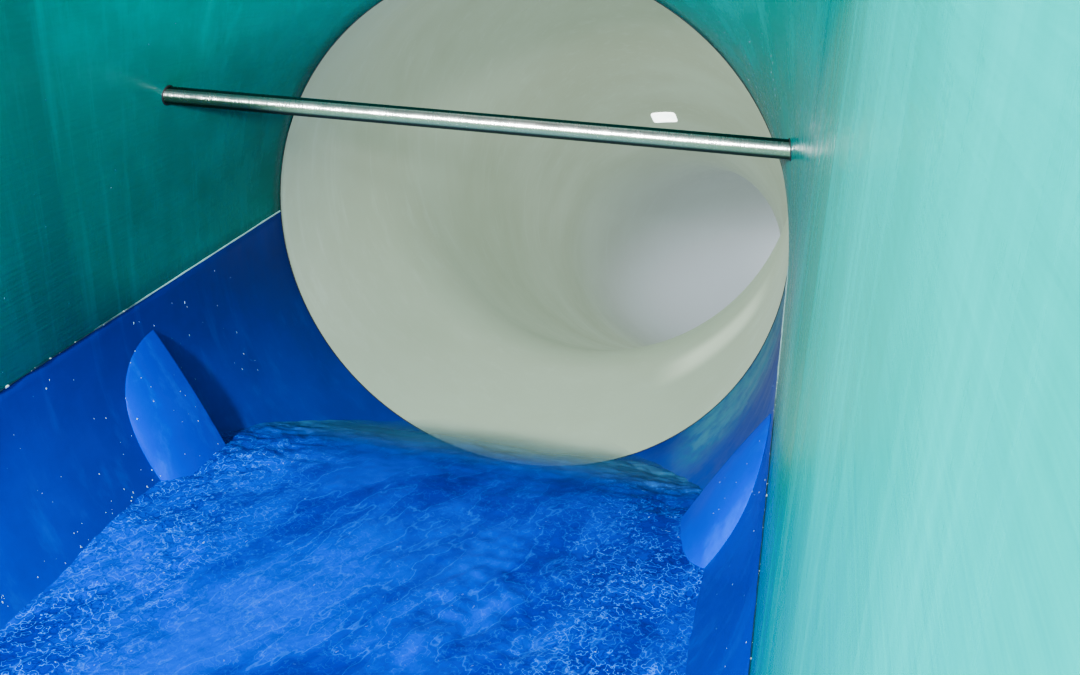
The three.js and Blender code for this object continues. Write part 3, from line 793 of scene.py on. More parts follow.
# %% [markdown]
# ## The slide's centre line
# A slide is set out along its centre line: straight out of the mouth, down a drop, along a slope, and
# round a turn. The line is stepped out one centimetre at a time from the direction of travel at each
# distance. It becomes a curve here, and bolts, poles and water are placed from the same points later.

# %% The slide's centre line
MOUTH_RUN = 0.540
DROP_R = 1.500
DROP_ANGLE = math.radians(24)
SLOPE_SECTION = 1.500
TURN_R = 2.500
TURN_ANGLE = math.radians(36)
RUNOUT_SLOPE = math.radians(10)
DROP_END = MOUTH_RUN + DROP_R * DROP_ANGLE
SLOPE_END = DROP_END + 2 * SLOPE_SECTION
BEND = TURN_R * TURN_ANGLE
TUBE_END = SLOPE_END + 2 * BEND
LINE_STEP = 0.01


def ease(x):
    x = min(1.0, max(0.0, x))
    return x * x * (3 - 2 * x)


def heading(s):
    """The direction of travel at a distance from the mouth."""
    turn = max(0.0, s - SLOPE_END) / TURN_R
    slope = min(max(s - MOUTH_RUN, 0.0) / DROP_R, DROP_ANGLE)
    if s > SLOPE_END:
        slope = DROP_ANGLE + (RUNOUT_SLOPE - DROP_ANGLE) * ease(turn / TURN_ANGLE)
    level = math.cos(slope)
    return Vector((level * math.sin(turn), level * math.cos(turn), -math.sin(slope)))


def step_out():
    points = [MOUTH.copy()]
    count = round((TUBE_END + LINE_STEP) / LINE_STEP)
    for i in range(count):
        points.append(points[-1] + heading((i + 0.5) * LINE_STEP) * LINE_STEP)
    return points


line_points = step_out()


def add_centre_line():
    curve = bpy.data.curves.new("centre_line", "CURVE")
    curve.dimensions = "3D"
    curve.twist_mode = "Z_UP"
    spline = curve.splines.new("POLY")
    spline.points.add(len(line_points) - 1)
    for point, place in zip(spline.points, line_points):
        point.co = (*place, 1)
    line = bpy.data.objects.new("centre_line", curve)
    bpy.context.scene.collection.objects.link(line)
    return line


centre_line = add_centre_line()
print("tube from", [round(v, 3) for v in line_points[0]], "to", [round(v, 3) for v in line_points[-1]])

# %% [markdown]
# ## The tube sections
# A tube section is a straight round moulding, bent. Each is made straight along x from a circle that
# is pulled step by step, its ends are turned out into flanges, and a Curve modifier bends it:
# x becomes the distance travelled, which keeps every joint flange square to the tube. The sheet gets
# its thickness before the bend, and the glowing gelcoat goes on its inside only.

# %% The tube sections
TUBE_ROUND = 128
BEND_STEP = 0.06


def add_tube(name, start, end):
    start, end = start + SEAM_GAP, end - SEAM_GAP
    bpy.ops.mesh.primitive_circle_add(
        vertices=TUBE_ROUND, radius=BORE, location=(start, 0, 0), rotation=(0, math.radians(90), 0)
    )
    tube = new_piece(name)
    open_mesh(tube)
    steps = max(1, round((end - start) / BEND_STEP))
    step = (end - start) / steps
    for i in range(steps):
        x = start + i * step
        pull_edges(tube, lambda p: near(p.x, x), (step, 0, 0))
    grow = RIM / BORE
    for x in (start, end):
        pull_edges(tube, lambda p: near(p.x, x), STAY)
        bpy.ops.transform.resize(value=(1, grow, grow), center_override=(x, 0, 0))
    close_mesh()
    tube.data.materials.append(pale_gelcoat)
    tube.data.materials.append(lit_gelcoat)
    middle = Vector(((start + end) / 2, 0, BORE))
    give_thickness(tube, (middle, AXIS_Z), material_offset=1, material_offset_rim=1)
    add_modifier(tube, "CURVE", object=centre_line, deform_axis="POS_X")
    smooth(tube)
    settle(tube, "pale_grp", name.replace("round_", "tube_"))
    return tube


sections = {
    "round_drop_section": (0, DROP_END),
    "round_slope_section_1": (DROP_END, DROP_END + SLOPE_SECTION),
    "round_slope_section_2": (DROP_END + SLOPE_SECTION, SLOPE_END),
    "round_bend_section_1": (SLOPE_END, SLOPE_END + BEND),
    "round_bend_section_2": (SLOPE_END + BEND, TUBE_END),
}
for name, (start, end) in sections.items():
    tube = add_tube(name, start, end)
    low = [min(v.co[i] for v in tube.data.vertices) for i in range(3)]
    print(name, "from", [round(v, 3) for v in low])
bpy.data.objects.remove(centre_line)

# %% [markdown]
# ## The water scoops
# Water enters through a pipe under a low dome on each side of the tub, and leaves towards the mouth.
# A dome is a flattened ball made hollow, kept where it is inside the tub, and cut square at its lip.
# A real one is laid up on its own small mould and bonded in, which leaves its edge quite crisp.

# %% The water scoops
INLET_ANGLE = math.radians(62.5)
SCOOP_LIP_Y = -0.581
SCOOP_LENGTH = 0.157
SCOOP_HALF_WIDTH = 0.362
SCOOP_RISE = 0.049
SCOOP_T = 0.006


def inlet_direction(side):
    return Vector((side * math.sin(INLET_ANGLE), 0, -math.cos(INLET_ANGLE)))


def add_ball(name, side, shrink):
    bpy.ops.mesh.primitive_uv_sphere_add(segments=128, ring_count=64, radius=1)
    ball = bpy.context.object
    ball.scale = (SCOOP_HALF_WIDTH - shrink, SCOOP_LENGTH - shrink, SCOOP_RISE - shrink)
    ball.rotation_euler = (0, -side * INLET_ANGLE, 0)
    ball.location = inlet_direction(side) * BORE + Vector((0, MOUTH_Y + SCOOP_LIP_Y, MOUTH_Z))
    return new_piece(name)


def carve(piece, operation, tool):
    add_modifier(piece, "BOOLEAN", operation=operation, object=tool, solver="EXACT")
    bpy.data.objects.remove(tool)


def add_scoop(side, word):
    scoop = add_ball(f"{word}_scoop", side, 0.0)
    carve(scoop, "DIFFERENCE", add_ball("hollow", side, SCOOP_T))
    bpy.ops.mesh.primitive_cylinder_add(
        vertices=ROUND,
        radius=BORE - SEAM_GAP,
        depth=TUB_LENGTH,
        location=(0, MOUTH_Y - TUB_LENGTH / 2, MOUTH_Z),
        rotation=(math.radians(90), 0, 0),
    )
    carve(scoop, "INTERSECT", new_piece("inside_of_tub"))
    open_mesh(scoop)
    bpy.ops.mesh.select_all(action="SELECT")
    lip = (0, MOUTH_Y + SCOOP_LIP_Y, MOUTH_Z)
    bpy.ops.mesh.bisect(plane_co=lip, plane_no=(0, 1, 0), clear_outer=True, use_fill=True)
    close_mesh()
    soften(scoop, EDGE, angle=60)
    smooth(scoop, 40)
    scoop.data.materials.append(scoop_gelcoat)
    return settle(scoop, "blue_grp", f"{word}_inlet_scoop")


for side, word in SIDES:
    scoop = add_scoop(side, word)
    print(scoop.name, "faces:", len(scoop.data.polygons))

# %% [markdown]
# ## Inlet pipes
# Each stub is plain pipe with a collar that is glassed to the tub and a flange for the supply.
# All of it is round, so one half-section is drawn and spun.

# %% Inlet pipes
PIPE_Y = -0.655
PIPE_BORE = 0.070
PIPE_SKIN = 0.075
PIPE_REACH = 0.165
COLLAR_R, PIPE_FLANGE_R = 0.105, 0.140


def add_inlet_pipe(side, word):
    start, wall, end = BORE + SKIN / 2, BORE + SKIN, BORE + PIPE_REACH
    collar, flange = COLLAR_R, PIPE_FLANGE_R
    profile = [
        (PIPE_BORE, start), (PIPE_SKIN, start), (PIPE_SKIN, wall + 0.012),
        (collar - 0.004, wall + 0.003), (collar, wall + 0.006), (collar, wall + 0.010),
        (PIPE_SKIN + 0.006, wall + 0.014), (PIPE_SKIN, wall + 0.022),
        (PIPE_SKIN, end - 0.026), (PIPE_SKIN + 0.008, end - 0.018),
        (flange - 0.002, end - 0.018), (flange, end - 0.016), (flange, end - 0.002), (flange - 0.002, end),
        (PIPE_BORE + 0.002, end), (PIPE_BORE, end - 0.002), (PIPE_BORE, start),
    ]
    pipe = turned(f"{word}_pipe_stub", profile, 96)
    put(pipe, Vector((0, MOUTH_Y + PIPE_Y, MOUTH_Z)), inlet_direction(side))
    smooth(pipe, 30)
    pipe.data.materials.append(grey_pipe)
    return settle(pipe, "grey_plastic", f"{word}_inlet_pipe")


for side, word in SIDES:
    pipe = add_inlet_pipe(side, word)
    print(pipe.name, "bore", 2 * PIPE_BORE, "faces:", len(pipe.data.polygons))

# %% [markdown]
# ## The grab bar
# The bar is there to hang on and to push off from. It is a length of handrail tube passed through
# both walls. The ends are bored out with an inset and a push inwards. A thin black ring closes the
# gap inside, and a round plate with a collar spreads the load outside. Both stand square to the wall,
# whose outward direction comes from the hood's own formula.

# %% The grab bar
BAR_WALL = 0.0026
BAR_Y = -0.480
BAR_REACH = 0.645
BAR_DEPTH = 0.08


def add_bar():
    bpy.ops.mesh.primitive_cylinder_add(
        vertices=96, radius=BAR_R, depth=2 * BAR_REACH,
        location=(0, MOUTH_Y + BAR_Y, MOUTH_Z + BAR_Z), rotation=(0, math.radians(90), 0),
    )
    bar = new_piece("hand_bar")
    open_mesh(bar)
    for side in (-1, 1):
        pick(bar, lambda p: near(p.x, side * BAR_REACH), "FACE")
        bpy.ops.mesh.inset(thickness=BAR_WALL)
        bpy.ops.mesh.extrude_region_move(TRANSFORM_OT_translate={"value": (-side * BAR_DEPTH, 0, 0)})
    close_mesh()
    soften(bar, 0.0004, angle=60)
    smooth(bar)
    bar.data.materials.append(painted_shading_stainless)
    return settle(bar, "stainless", "grab_bar")


def wall_at_bar(side):
    """Where the hood's inside meets the bar, and the outward direction there."""
    x = side * hood_half_width(BAR_Y, BAR_Z)
    place = Vector((x, MOUTH_Y + BAR_Y, MOUTH_Z + BAR_Z))
    out = Vector((2 * x, BAR_Z**2 * hood_rate(BAR_Y), 2 * BAR_Z * hood_blend(BAR_Y)))
    return place, out.normalized()


def add_bar_fittings(side, word):
    place, out = wall_at_bar(side)
    ring = turned(f"{word}_bar_ring", [
        (BAR_R, -0.0018), (BAR_R + 0.0012, -0.0016), (BAR_R + 0.0026, -0.0004),
        (BAR_R + 0.0028, 0.001), (BAR_R, 0.001), (BAR_R, -0.0018),
    ])
    put(ring, place, out)
    smooth(ring, 60)
    ring.data.materials.append(black_rubber)
    settle(ring, "rubber", f"{word}_bar_gasket")
    outer = place + out * (SKIN + 0.0005)
    hole = BAR_R + SEAM_GAP
    plate = turned(f"{word}_bar_washer", [
        (hole, 0), (0.058, 0), (0.060, 0.0015), (0.060, 0.0045), (0.0585, 0.006),
        (BAR_R + 0.012, 0.006), (BAR_R + 0.0065, 0.009), (BAR_R + 0.006, 0.022), (hole, 0.022), (hole, 0),
    ])
    put(plate, outer, out)
    smooth(plate, 30)
    plate.data.materials.append(stainless)
    settle(plate, "stainless", f"{word}_bar_plate")


add_bar()
for side, word in SIDES:
    add_bar_fittings(side, word)
    print(word, "end of the bar meets the wall at", [round(v, 3) for v in wall_at_bar(side)[0]])

# %% [markdown]
# ## Hollow sections and their welds
# Columns, beams and ties are square hollow section, which always has rounded corners and shows its
# thin wall at an open end. So a cube gets its four long edges bevelled, and each end is inset and
# pushed in. All of it was welded up and then dipped in zinc, so every joint carries a small weld
# under the same grey skin: a short skirt that leans out where it meets the plate.

# %% Hollow sections and their welds
COLUMN = 0.100
SECTION_WALL = 0.005
WELD = 0.006


def bevel_uprights(piece, height, offset):
    """Round the four upright edges of a block that has this height."""
    open_mesh(piece)
    bpy.ops.mesh.select_mode(type="EDGE")
    bpy.ops.mesh.select_all(action="DESELECT")
    mesh = bmesh.from_edit_mesh(piece.data)
    for edge in mesh.edges:
        edge.select = abs(edge.verts[0].co.z - edge.verts[1].co.z) > height / 2
    bmesh.update_edit_mesh(piece.data)
    bpy.ops.mesh.bevel(offset=offset, segments=5)


def square_section(name, length, width):
    """A square tube along z from the origin up, with rounded corners and open ends."""
    bpy.ops.mesh.primitive_cube_add(size=1)
    bar = bpy.context.object
    bar.scale = (width, width, length)
    bar.location = (0, 0, length / 2)
    bar = new_piece(name)
    bevel_uprights(bar, length, width * 0.1)
    for end in (0, length):
        pick(bar, lambda p: near(p.z, end), "FACE")
        bpy.ops.mesh.inset(thickness=SECTION_WALL)
        inward = width / 2 * (1 if end == 0 else -1)
        bpy.ops.mesh.extrude_region_move(TRANSFORM_OT_translate={"value": (0, 0, inward)})
    close_mesh()
    return bar


def square_weld(half, corner):
    """A short skirt round a square post that leans out at the bottom."""
    bpy.ops.mesh.primitive_cube_add(size=2)
    skirt = bpy.context.object
    skirt.scale = (half, half, WELD / 2)
    skirt.location = (0, 0, WELD / 2)
    skirt = new_piece("weld")
    bevel_uprights(skirt, WELD, corner)
    pick(skirt, lambda p: near(p.z, 0), "FACE")
    grow = (half + WELD) / half
    bpy.ops.transform.resize(value=(grow, grow, 1), center_override=(0, 0, 0))
    close_mesh()
    return skirt


def settle_steel(piece, *replaced):
    """Every piece of the stand ends in the same way."""
    smooth(piece, 30)
    piece.data.materials.append(galvanised)
    return settle(piece, "galvanised", *replaced)


print("section", COLUMN, "with a wall of", SECTION_WALL)

# %% [markdown]
# ## The two trestles
# The tub stands on two trestles: two columns and a cross beam each, tied together along both sides.
# A column is a hollow section welded between a foot plate and a head plate. The beam's height comes
# down from the tub: the shell, the cradle's web and its base plate stand between them.

# %% The two trestles
PLATE, FOOT, HEAD = 0.016, 0.280, 0.160
BEAM_LENGTH, COLUMN_X, TIE, TIE_Z = 1.240, 0.500, 0.080, 1.000
CRADLE_WEB, CRADLE_T = 0.070, 0.012
BEAM_TOP = MOUTH_Z - BORE - SKIN - SEAM_GAP - CRADLE_WEB - CRADLE_T
TRESTLES = {"rear": MOUTH_Y - 2.150, "front": MOUTH_Y - 0.400}


def plate_at(name, width, low, high):
    """A square plate on the z axis, from one height to another."""
    return block(name, (-width / 2, -width / 2, low), (width / 2, width / 2, high), EDGE)


def add_column(name, x, y):
    top = BEAM_TOP - COLUMN - 2 * SEAM_GAP
    post = square_section(name, top - PLATE, COLUMN)
    put(post, Vector((0, 0, PLATE / 2)))
    parts = [post, plate_at("foot", FOOT, 0, PLATE), plate_at("head", HEAD, top - PLATE, top)]
    for z, flip in ((PLATE, 1), (top - PLATE, -1)):
        weld = square_weld(COLUMN / 2, COLUMN * 0.1)
        weld.scale = (1, 1, flip)
        weld.location = (0, 0, z)
        parts.append(new_piece("weld"))
    post = join(name, parts)
    put(post, Vector((x, y, 0)))
    return post


for row, y in TRESTLES.items():
    for side, word in SIDES:
        settle_steel(add_column(f"{row}_{word}_post", side * COLUMN_X, y), f"{row}_{word}_column")
    beam = square_section(f"{row}_beam", BEAM_LENGTH, COLUMN)
    put(beam, Vector((-BEAM_LENGTH / 2, y, BEAM_TOP - SEAM_GAP - COLUMN / 2)), AXIS_X)
    settle_steel(beam, f"{row}_cross_beam")

tie_start = TRESTLES["rear"] + COLUMN / 2 + SEAM_GAP
tie_end = TRESTLES["front"] - COLUMN / 2 - SEAM_GAP
for side, word in SIDES:
    tie = square_section(f"{word}_tie", tie_end - tie_start, TIE)
    put(tie, Vector((side * COLUMN_X, tie_start, TIE_Z + TIE / 2)), AXIS_Y)
    settle_steel(tie, f"{word}_side_tie")
print("beam top at", round(BEAM_TOP, 3))

# %% [markdown]
# ## The round poles
# A pole stands square under the slide with its plates turned to follow it. The plates carry four
# stiffeners, because a tall pole with a moving load on top wants to rock at its foot.

# %% The round poles
POLE_R, POLE_FOOT, POLE_OFFSET = 0.084, 0.420, 0.350
RIB_T, RIB_HEIGHT, RIB_CUT = 0.010, 0.12, 0.09
POLES = {
    "mouth": -MOUTH_Y,
    "slope": DROP_END + SLOPE_SECTION + POLE_OFFSET,
    "outlet": TUBE_END - POLE_OFFSET,
}


def pole_place(s):
    """The spot under the tube at a distance along it: place, plan turn and the height of the pole's top."""
    centre = line_points[round(s / LINE_STEP)]
    ahead = heading(s)
    slope = math.asin(-ahead.z)
    turn = math.atan2(ahead.x, ahead.y)
    top = centre.z - (BORE + SKIN) / math.cos(slope) - CRADLE_WEB - CRADLE_T - SEAM_GAP
    return centre, turn, top


def add_pole(name, s):
    centre, turn, top = pole_place(s)
    foot_face, head_face = PLATE, top - PLATE
    shaft = turned(name, [
        (0, foot_face), (POLE_R + 0.007, foot_face), (POLE_R + 0.002, foot_face + 0.005),
        (POLE_R, foot_face + 0.009), (POLE_R, head_face - 0.009), (POLE_R + 0.002, head_face - 0.005),
        (POLE_R + 0.007, head_face), (0, head_face),
    ], 96)
    parts = [shaft, plate_at("foot", POLE_FOOT, 0, foot_face), plate_at("head", FOOT, head_face, top)]
    for quarter in range(4):
        inner, outer = POLE_R - 0.004, POLE_FOOT / 2 - 0.015
        rib = block("rib", (inner, -RIB_T / 2, PLATE), (outer, RIB_T / 2, PLATE + RIB_HEIGHT))
        open_mesh(rib)
        pick(rib, lambda p: near(p.x, outer) and near(p.z, PLATE + RIB_HEIGHT), "EDGE")
        bpy.ops.transform.translate(value=(-RIB_CUT, 0, 0))
        close_mesh()
        put(rib, Vector((0, 0, 0)), AXIS_Z, quarter * math.pi / 2)
        parts.append(rib)
    pole = join(name, parts)
    put(pole, Vector((centre.x, centre.y, 0)), AXIS_Z, -turn)
    return pole


for word, s in POLES.items():
    settle_steel(add_pole(f"{word}_pole", s), f"{word}_column")
    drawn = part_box(f"{word}_column")[1][2]
    print(word, "pole top at", round(pole_place(s)[2], 3), "and on the drawing", round(drawn, 3))

# %% [markdown]
# ## One bolt for each grip
# A slide is a kit: flanges, plates and feet are all drawn together by bolts. One bolt is modelled for
# each grip, as a six-sided head and a washer on one side, a washer, nut and thread end on the other.
# It is then copied to every hole, and the copies at one joint become one mesh. A bolt is repeated
# hundreds of times, so it has only a few dozen faces.

# %% One bolt for each grip
WASHER_R, WASHER_T = 0.0125, 0.0022
HEAD_R, HEAD_TOP, NUT_END = 0.0100, 0.0092, 0.0120
THREAD_R, THREAD_END = 0.0055, 0.0170


def prism(sides, radius, low, high):
    middle = (0, 0, (low + high) / 2)
    bpy.ops.mesh.primitive_cylinder_add(vertices=sides, radius=radius, depth=high - low, location=middle)
    return new_piece("prism")


def make_bolt(grip, nut=True):
    """A bolt along z whose head sits on z = 0 and whose nut sits on z = -grip."""
    parts = [prism(20, WASHER_R, 0.0, WASHER_T), prism(6, HEAD_R, WASHER_T, HEAD_TOP)]
    if nut:
        parts.append(prism(20, WASHER_R, -grip - WASHER_T, -grip))
        parts.append(prism(6, HEAD_R, -grip - NUT_END, -grip - WASHER_T))
        parts.append(prism(12, THREAD_R, -grip - THREAD_END, -grip - NUT_END))
    bolt = join("bolt", parts)
    soften(bolt, 0.0008, segments=1)
    return bolt


def bolt_group(name, pattern, spots):
    """Copy a bolt to each (place, direction) and make the copies one mesh."""
    copies = []
    for place, direction in spots:
        twin = copy_of(pattern)
        put(twin, place, direction)
        copies.append(twin)
    group = join(name, copies)
    print(name, len(spots))
    return settle_steel(group)


BOLT_R = BORE + SKIN + 0.032
HEAD_SEAT = SKIN + 0.001
joint_bolt = make_bolt(2 * HEAD_SEAT)
plate_bolt = make_bolt(PLATE, nut=False)
print("faces on one joint bolt:", len(joint_bolt.data.polygons))

# %% [markdown]
# ## Bolts round the tube's joints
# The bolts of a round joint stand on a circle in the joint's own plane, so each joint needs the
# direction of travel there and two directions square to it.

# %% Bolts round the tube's joints
JOINT_BOLTS = 24
JOINTS = {
    "mouth": 0.0,
    "drop": DROP_END,
    "slope": DROP_END + SLOPE_SECTION,
    "turn": SLOPE_END,
    "bend": SLOPE_END + BEND,
}
for word, s in JOINTS.items():
    base = round(s / LINE_STEP)
    ahead = heading(s)
    centre = line_points[base] + ahead * (s - base * LINE_STEP)
    across = ahead.cross(AXIS_Z).normalized()
    upward = across.cross(ahead)
    spots = []
    for i in range(JOINT_BOLTS):
        angle = math.tau * (i + 0.5) / JOINT_BOLTS
        out = across * math.cos(angle) + upward * math.sin(angle)
        spots.append((centre + out * BOLT_R - ahead * HEAD_SEAT, -ahead))
    bolt_group(f"{word}_joint_bolts", joint_bolt, spots)

# %% [markdown]
# ## Bolts along the seams, the crown and the end wall
# The two long seams have a bolt every 15 cm or so. Three bolts close the hood's crown, where the two
# halves meet, and a half-circle of them holds the end wall.

# %% Bolts along the seams, the crown and the end wall
SEAM_BOLTS, SEAM_START, SEAM_PITCH = 15, 0.10, 0.148
CROWN_BOLTS, CROWN_START, CROWN_PITCH = 3, -0.06, -0.10
WALL_BOLTS, WALL_FACE, WALL_GRIP = 13, 0.0103, 0.019
for side, word in SIDES:
    spots = []
    for i in range(SEAM_BOLTS):
        y = END_Y + SEAM_START + SEAM_PITCH * i
        spots.append((Vector((side * BOLT_R, y, MOUTH_Z + HEAD_SEAT)), AXIS_Z))
    bolt_group(f"{word}_seam_bolts", joint_bolt, spots)
spots = []
for i in range(CROWN_BOLTS):
    y = CROWN_START + CROWN_PITCH * i
    z = min(BORE / math.sqrt(hood_blend(y)) + 0.05, HOOD_HEIGHT - 0.03)
    spots.append((MOUTH + Vector((HEAD_SEAT, y, z)), AXIS_X))
bolt_group("crown_bolts", joint_bolt, spots)
spots = []
for i in range(WALL_BOLTS):
    angle = math.pi * (i + 0.5) / WALL_BOLTS
    out = Vector((math.cos(angle), 0, -math.sin(angle)))
    spots.append((out * BOLT_R + Vector((0, END_Y - WALL_FACE, MOUTH_Z)), -AXIS_Y))
wall_bolt = make_bolt(WALL_GRIP)
bolt_group("end_wall_bolts", wall_bolt, spots)

# %% [markdown]
# ## Bolts of the stand
# Every foot plate is held to the floor by four bolts, every head plate and cradle to the steel under
# it, and every brace by one bolt at each end. Each set is two distances either side of a centre.

# %% Bolts of the stand
FOOT_HOLES, HEAD_HOLES = (0.105, 0.105), (0.06, 0.064)
POLE_FOOT_HOLES, POLE_HEAD_HOLES = (0.165, 0.165), (0.105, 0.045)
CRADLE_HOLES_X, CRADLE_HOLES_Y = (-0.40, -0.15, 0.15, 0.40), 0.035
BRACE_LOW, BRACE_HIGH, BRACE_FACE = 0.250, BEAM_TOP - 0.300, COLUMN / 2 + 0.0083


def four_holes(holes, centre, turn=0.0):
    """The four corners of a pattern of holes about a centre, turned in plan."""
    spin = Matrix.Rotation(-turn, 3, "Z")
    corners = [Vector((x, y, 0)) for x in (-holes[0], holes[0]) for y in (-holes[1], holes[1])]
    return [(spin @ corner + centre, AXIS_Z) for corner in corners]


foot_spots, clamp_spots, brace_spots = [], [], []
for y in TRESTLES.values():
    for side in (-1, 1):
        foot_spots += four_holes(FOOT_HOLES, Vector((side * COLUMN_X, y, PLATE)))
        clamp_spots += four_holes(HEAD_HOLES, Vector((side * COLUMN_X, y, BEAM_TOP - COLUMN - 2 * SEAM_GAP)))
    for x in CRADLE_HOLES_X:
        for across in (-CRADLE_HOLES_Y, CRADLE_HOLES_Y):
            clamp_spots.append((Vector((x, y + across, BEAM_TOP + CRADLE_T)), AXIS_Z))
    for face in (-1, 1):
        for side in (-1, 1):
            z = BRACE_LOW if side * face < 0 else BRACE_HIGH
            brace_spots.append((Vector((side * COLUMN_X, y + face * BRACE_FACE, z)), face * AXIS_Y))
for s in POLES.values():
    centre, turn, top = pole_place(s)
    foot_spots += four_holes(POLE_FOOT_HOLES, Vector((centre.x, centre.y, PLATE)), turn)
    clamp_spots += four_holes(POLE_HEAD_HOLES, Vector((centre.x, centre.y, top + SEAM_GAP + CRADLE_T)), turn)
bolt_group("foot_bolts", plate_bolt, foot_spots)
bolt_group("cradle_bolts", plate_bolt, clamp_spots)
bolt_group("brace_bolts", plate_bolt, brace_spots)
for pattern in (joint_bolt, plate_bolt, wall_bolt):
    bpy.data.objects.remove(pattern)

# %% [markdown]
# ## Sealant along the joints
# The seam between tub and hood, and the joint round the mouth, are filled with a thin bead of
# sealant so that no water gets between the flanges. It was laid with a gun, so its width wanders.
# A bead is a flat grid rolled into a thin tube along the seam, with noise in its size and its line.
# Far from the mouth it is dark with pale flecks, and near the mouth it is paler.

# %% Sealant along the joints
BEAD_R, BEAD_SIZE, BEAD_VARIES, BEAD_DRIFT = 0.0022, 0.0021, 0.0010, 0.0006
MOUTH_BEAD_R = 0.0016


def sealant():
    finish = Finish("sealant_seam")
    along = finish.axis("Y")
    wear_and_painted_shade = finish.cloud(18.0, 5, 0.7)
    pale_flecks = finish.band(finish.cloud(60.0, 3), 0.60, 0.66)
    paler_near_mouth = finish.band(along + wear_and_painted_shade * 0.5, -0.85, -0.45)
    dark = finish.blend(pale_flecks, rgb(14, 40, 60), rgb(190, 205, 205))
    colour = finish.blend(paler_near_mouth, dark, rgb(150, 190, 190))
    return finish.drive(Base_Color=colour, Roughness=finish.band(wear_and_painted_shade, 0.3, 0.7, 0.35, 0.6))


seam_sealant = sealant()


def add_bead(side, word):
    length = TUB_LENGTH - 0.01
    bpy.ops.mesh.primitive_grid_add(x_subdivisions=10, y_subdivisions=600, size=1)
    strip = bpy.context.object
    strip.scale = (math.tau * BEAD_R, length, 1)
    strip = new_piece(f"{word}_seam_bead")
    for vert in strip.data.vertices:
        angle = vert.co.x / BEAD_R
        y = MOUTH_Y - TUB_LENGTH / 2 + vert.co.y
        size = BEAD_SIZE + BEAD_VARIES * noise.noise(Vector((side * 3.0, y * 22, 0)))
        drift = BEAD_DRIFT * noise.noise(Vector((side * 5.0, y * 9, 4)))
        vert.co = (side * BORE + size * math.cos(angle), y, MOUTH_Z + drift + size * math.sin(angle))
    face_out(strip)
    smooth(strip, 80)
    strip.data.materials.append(seam_sealant)
    return settle(strip, "rubber")


for side, word in SIDES:
    bead = add_bead(side, word)
    print(bead.name, "faces:", len(bead.data.polygons))
bpy.ops.mesh.primitive_torus_add(
    major_segments=ROUND, minor_segments=10, major_radius=BORE + 0.0004, minor_radius=MOUTH_BEAD_R,
    location=MOUTH, rotation=(math.radians(90), 0, 0),
)
mouth_bead = new_piece("mouth_bead")
smooth(mouth_bead, 80)
mouth_bead.data.materials.append(black_rubber)
settle(mouth_bead, "rubber")

# %% [markdown]
# ## The water's surface
# The tub is filled to a steady level, and from the scoops on the water runs down into the mouth.
# The surface is a fine grid. Upstream it is level and choppy, and near the mouth it sinks to a thin
# sheet. The chop is three sizes of noise, each with its own height, and it dies down near the walls
# and the mouth.

# %% The water's surface
WATER_LEVEL = -0.306
SPILL_START, SPILL_END = -0.66, 0.30
FILM, FILM_END, FILM_FADE = 0.012, 1.10, 0.35
SUNK = 0.003
SWELL, CHOP, RIPPLE = 0.0090, 0.0100, 0.0046


def water_level(s):
    """Height of the calm surface from the slide's axis. The film ends by sinking into the shell."""
    fall = ease((s - SPILL_START) / (SPILL_END - SPILL_START))
    thin = ease((s - FILM_END + FILM_FADE) / FILM_FADE)
    return WATER_LEVEL + fall * (FILM - BORE - WATER_LEVEL) - thin * (FILM + SUNK)


def slide_point(s, x, z):
    """The place that is x to the right and z above the slide's axis at a distance past the mouth."""
    if s <= 0:
        return MOUTH + Vector((x, s, z))
    base = min(int(s / LINE_STEP), len(line_points) - 2)
    ahead = heading(s)
    right = ahead.cross(AXIS_Z).normalized()
    centre = line_points[base] + ahead * (s - base * LINE_STEP)
    return centre + right * x + right.cross(ahead) * z


def add_water():
    first = 0.004 - TUB_LENGTH
    bpy.ops.mesh.primitive_grid_add(x_subdivisions=150, y_subdivisions=500, size=1)
    water = new_piece("tub_water")
    for vert in water.data.vertices:
        across = 2 * vert.co.x
        s = first + (vert.co.y + 0.5) * (FILM_END - first)
        z = water_level(s)
        x = across * math.sqrt(max((BORE + SUNK) ** 2 - z * z, 0.0))
        swell = SWELL * noise.noise(Vector((x * 6 + 3, s * 5, 1)))
        chop = CHOP * noise.noise(Vector((x * 20, s * 14, 5)))
        chop += RIPPLE * noise.noise(Vector((x * 56, s * 44, 9)))
        patches = noise.noise(Vector((x * 3.1, s * 2.3, 7)))
        busy = 0.30 + 0.70 * ease((patches + abs(across) - 0.45) / 0.5)
        calm = 1 - 0.85 * ease((s + 0.45) / 0.75)
        edge = 1 - 0.5 * abs(across) ** 12
        vert.co = slide_point(s, x, z + (swell + chop * busy) * calm * edge)
    smooth(water, 180)
    return water


water = add_water()
print("water surface points:", len(water.data.vertices))

# %% [markdown]
# ## The water's finish
# Shallow moving water over blue gelcoat is deep blue with long soft light patches. Long faint painted
# highlights run across it, and thin painted highlights on the crests, painted shade in the hollows and
# small painted glints crowd where the chop is busy. They are contour lines of a cloud: where its value
# crosses one number, a narrow band is painted. Near the mouth the ripples lie down, and the surface
# fades out as a film, so that the shell shows through.

# %% The water's finish


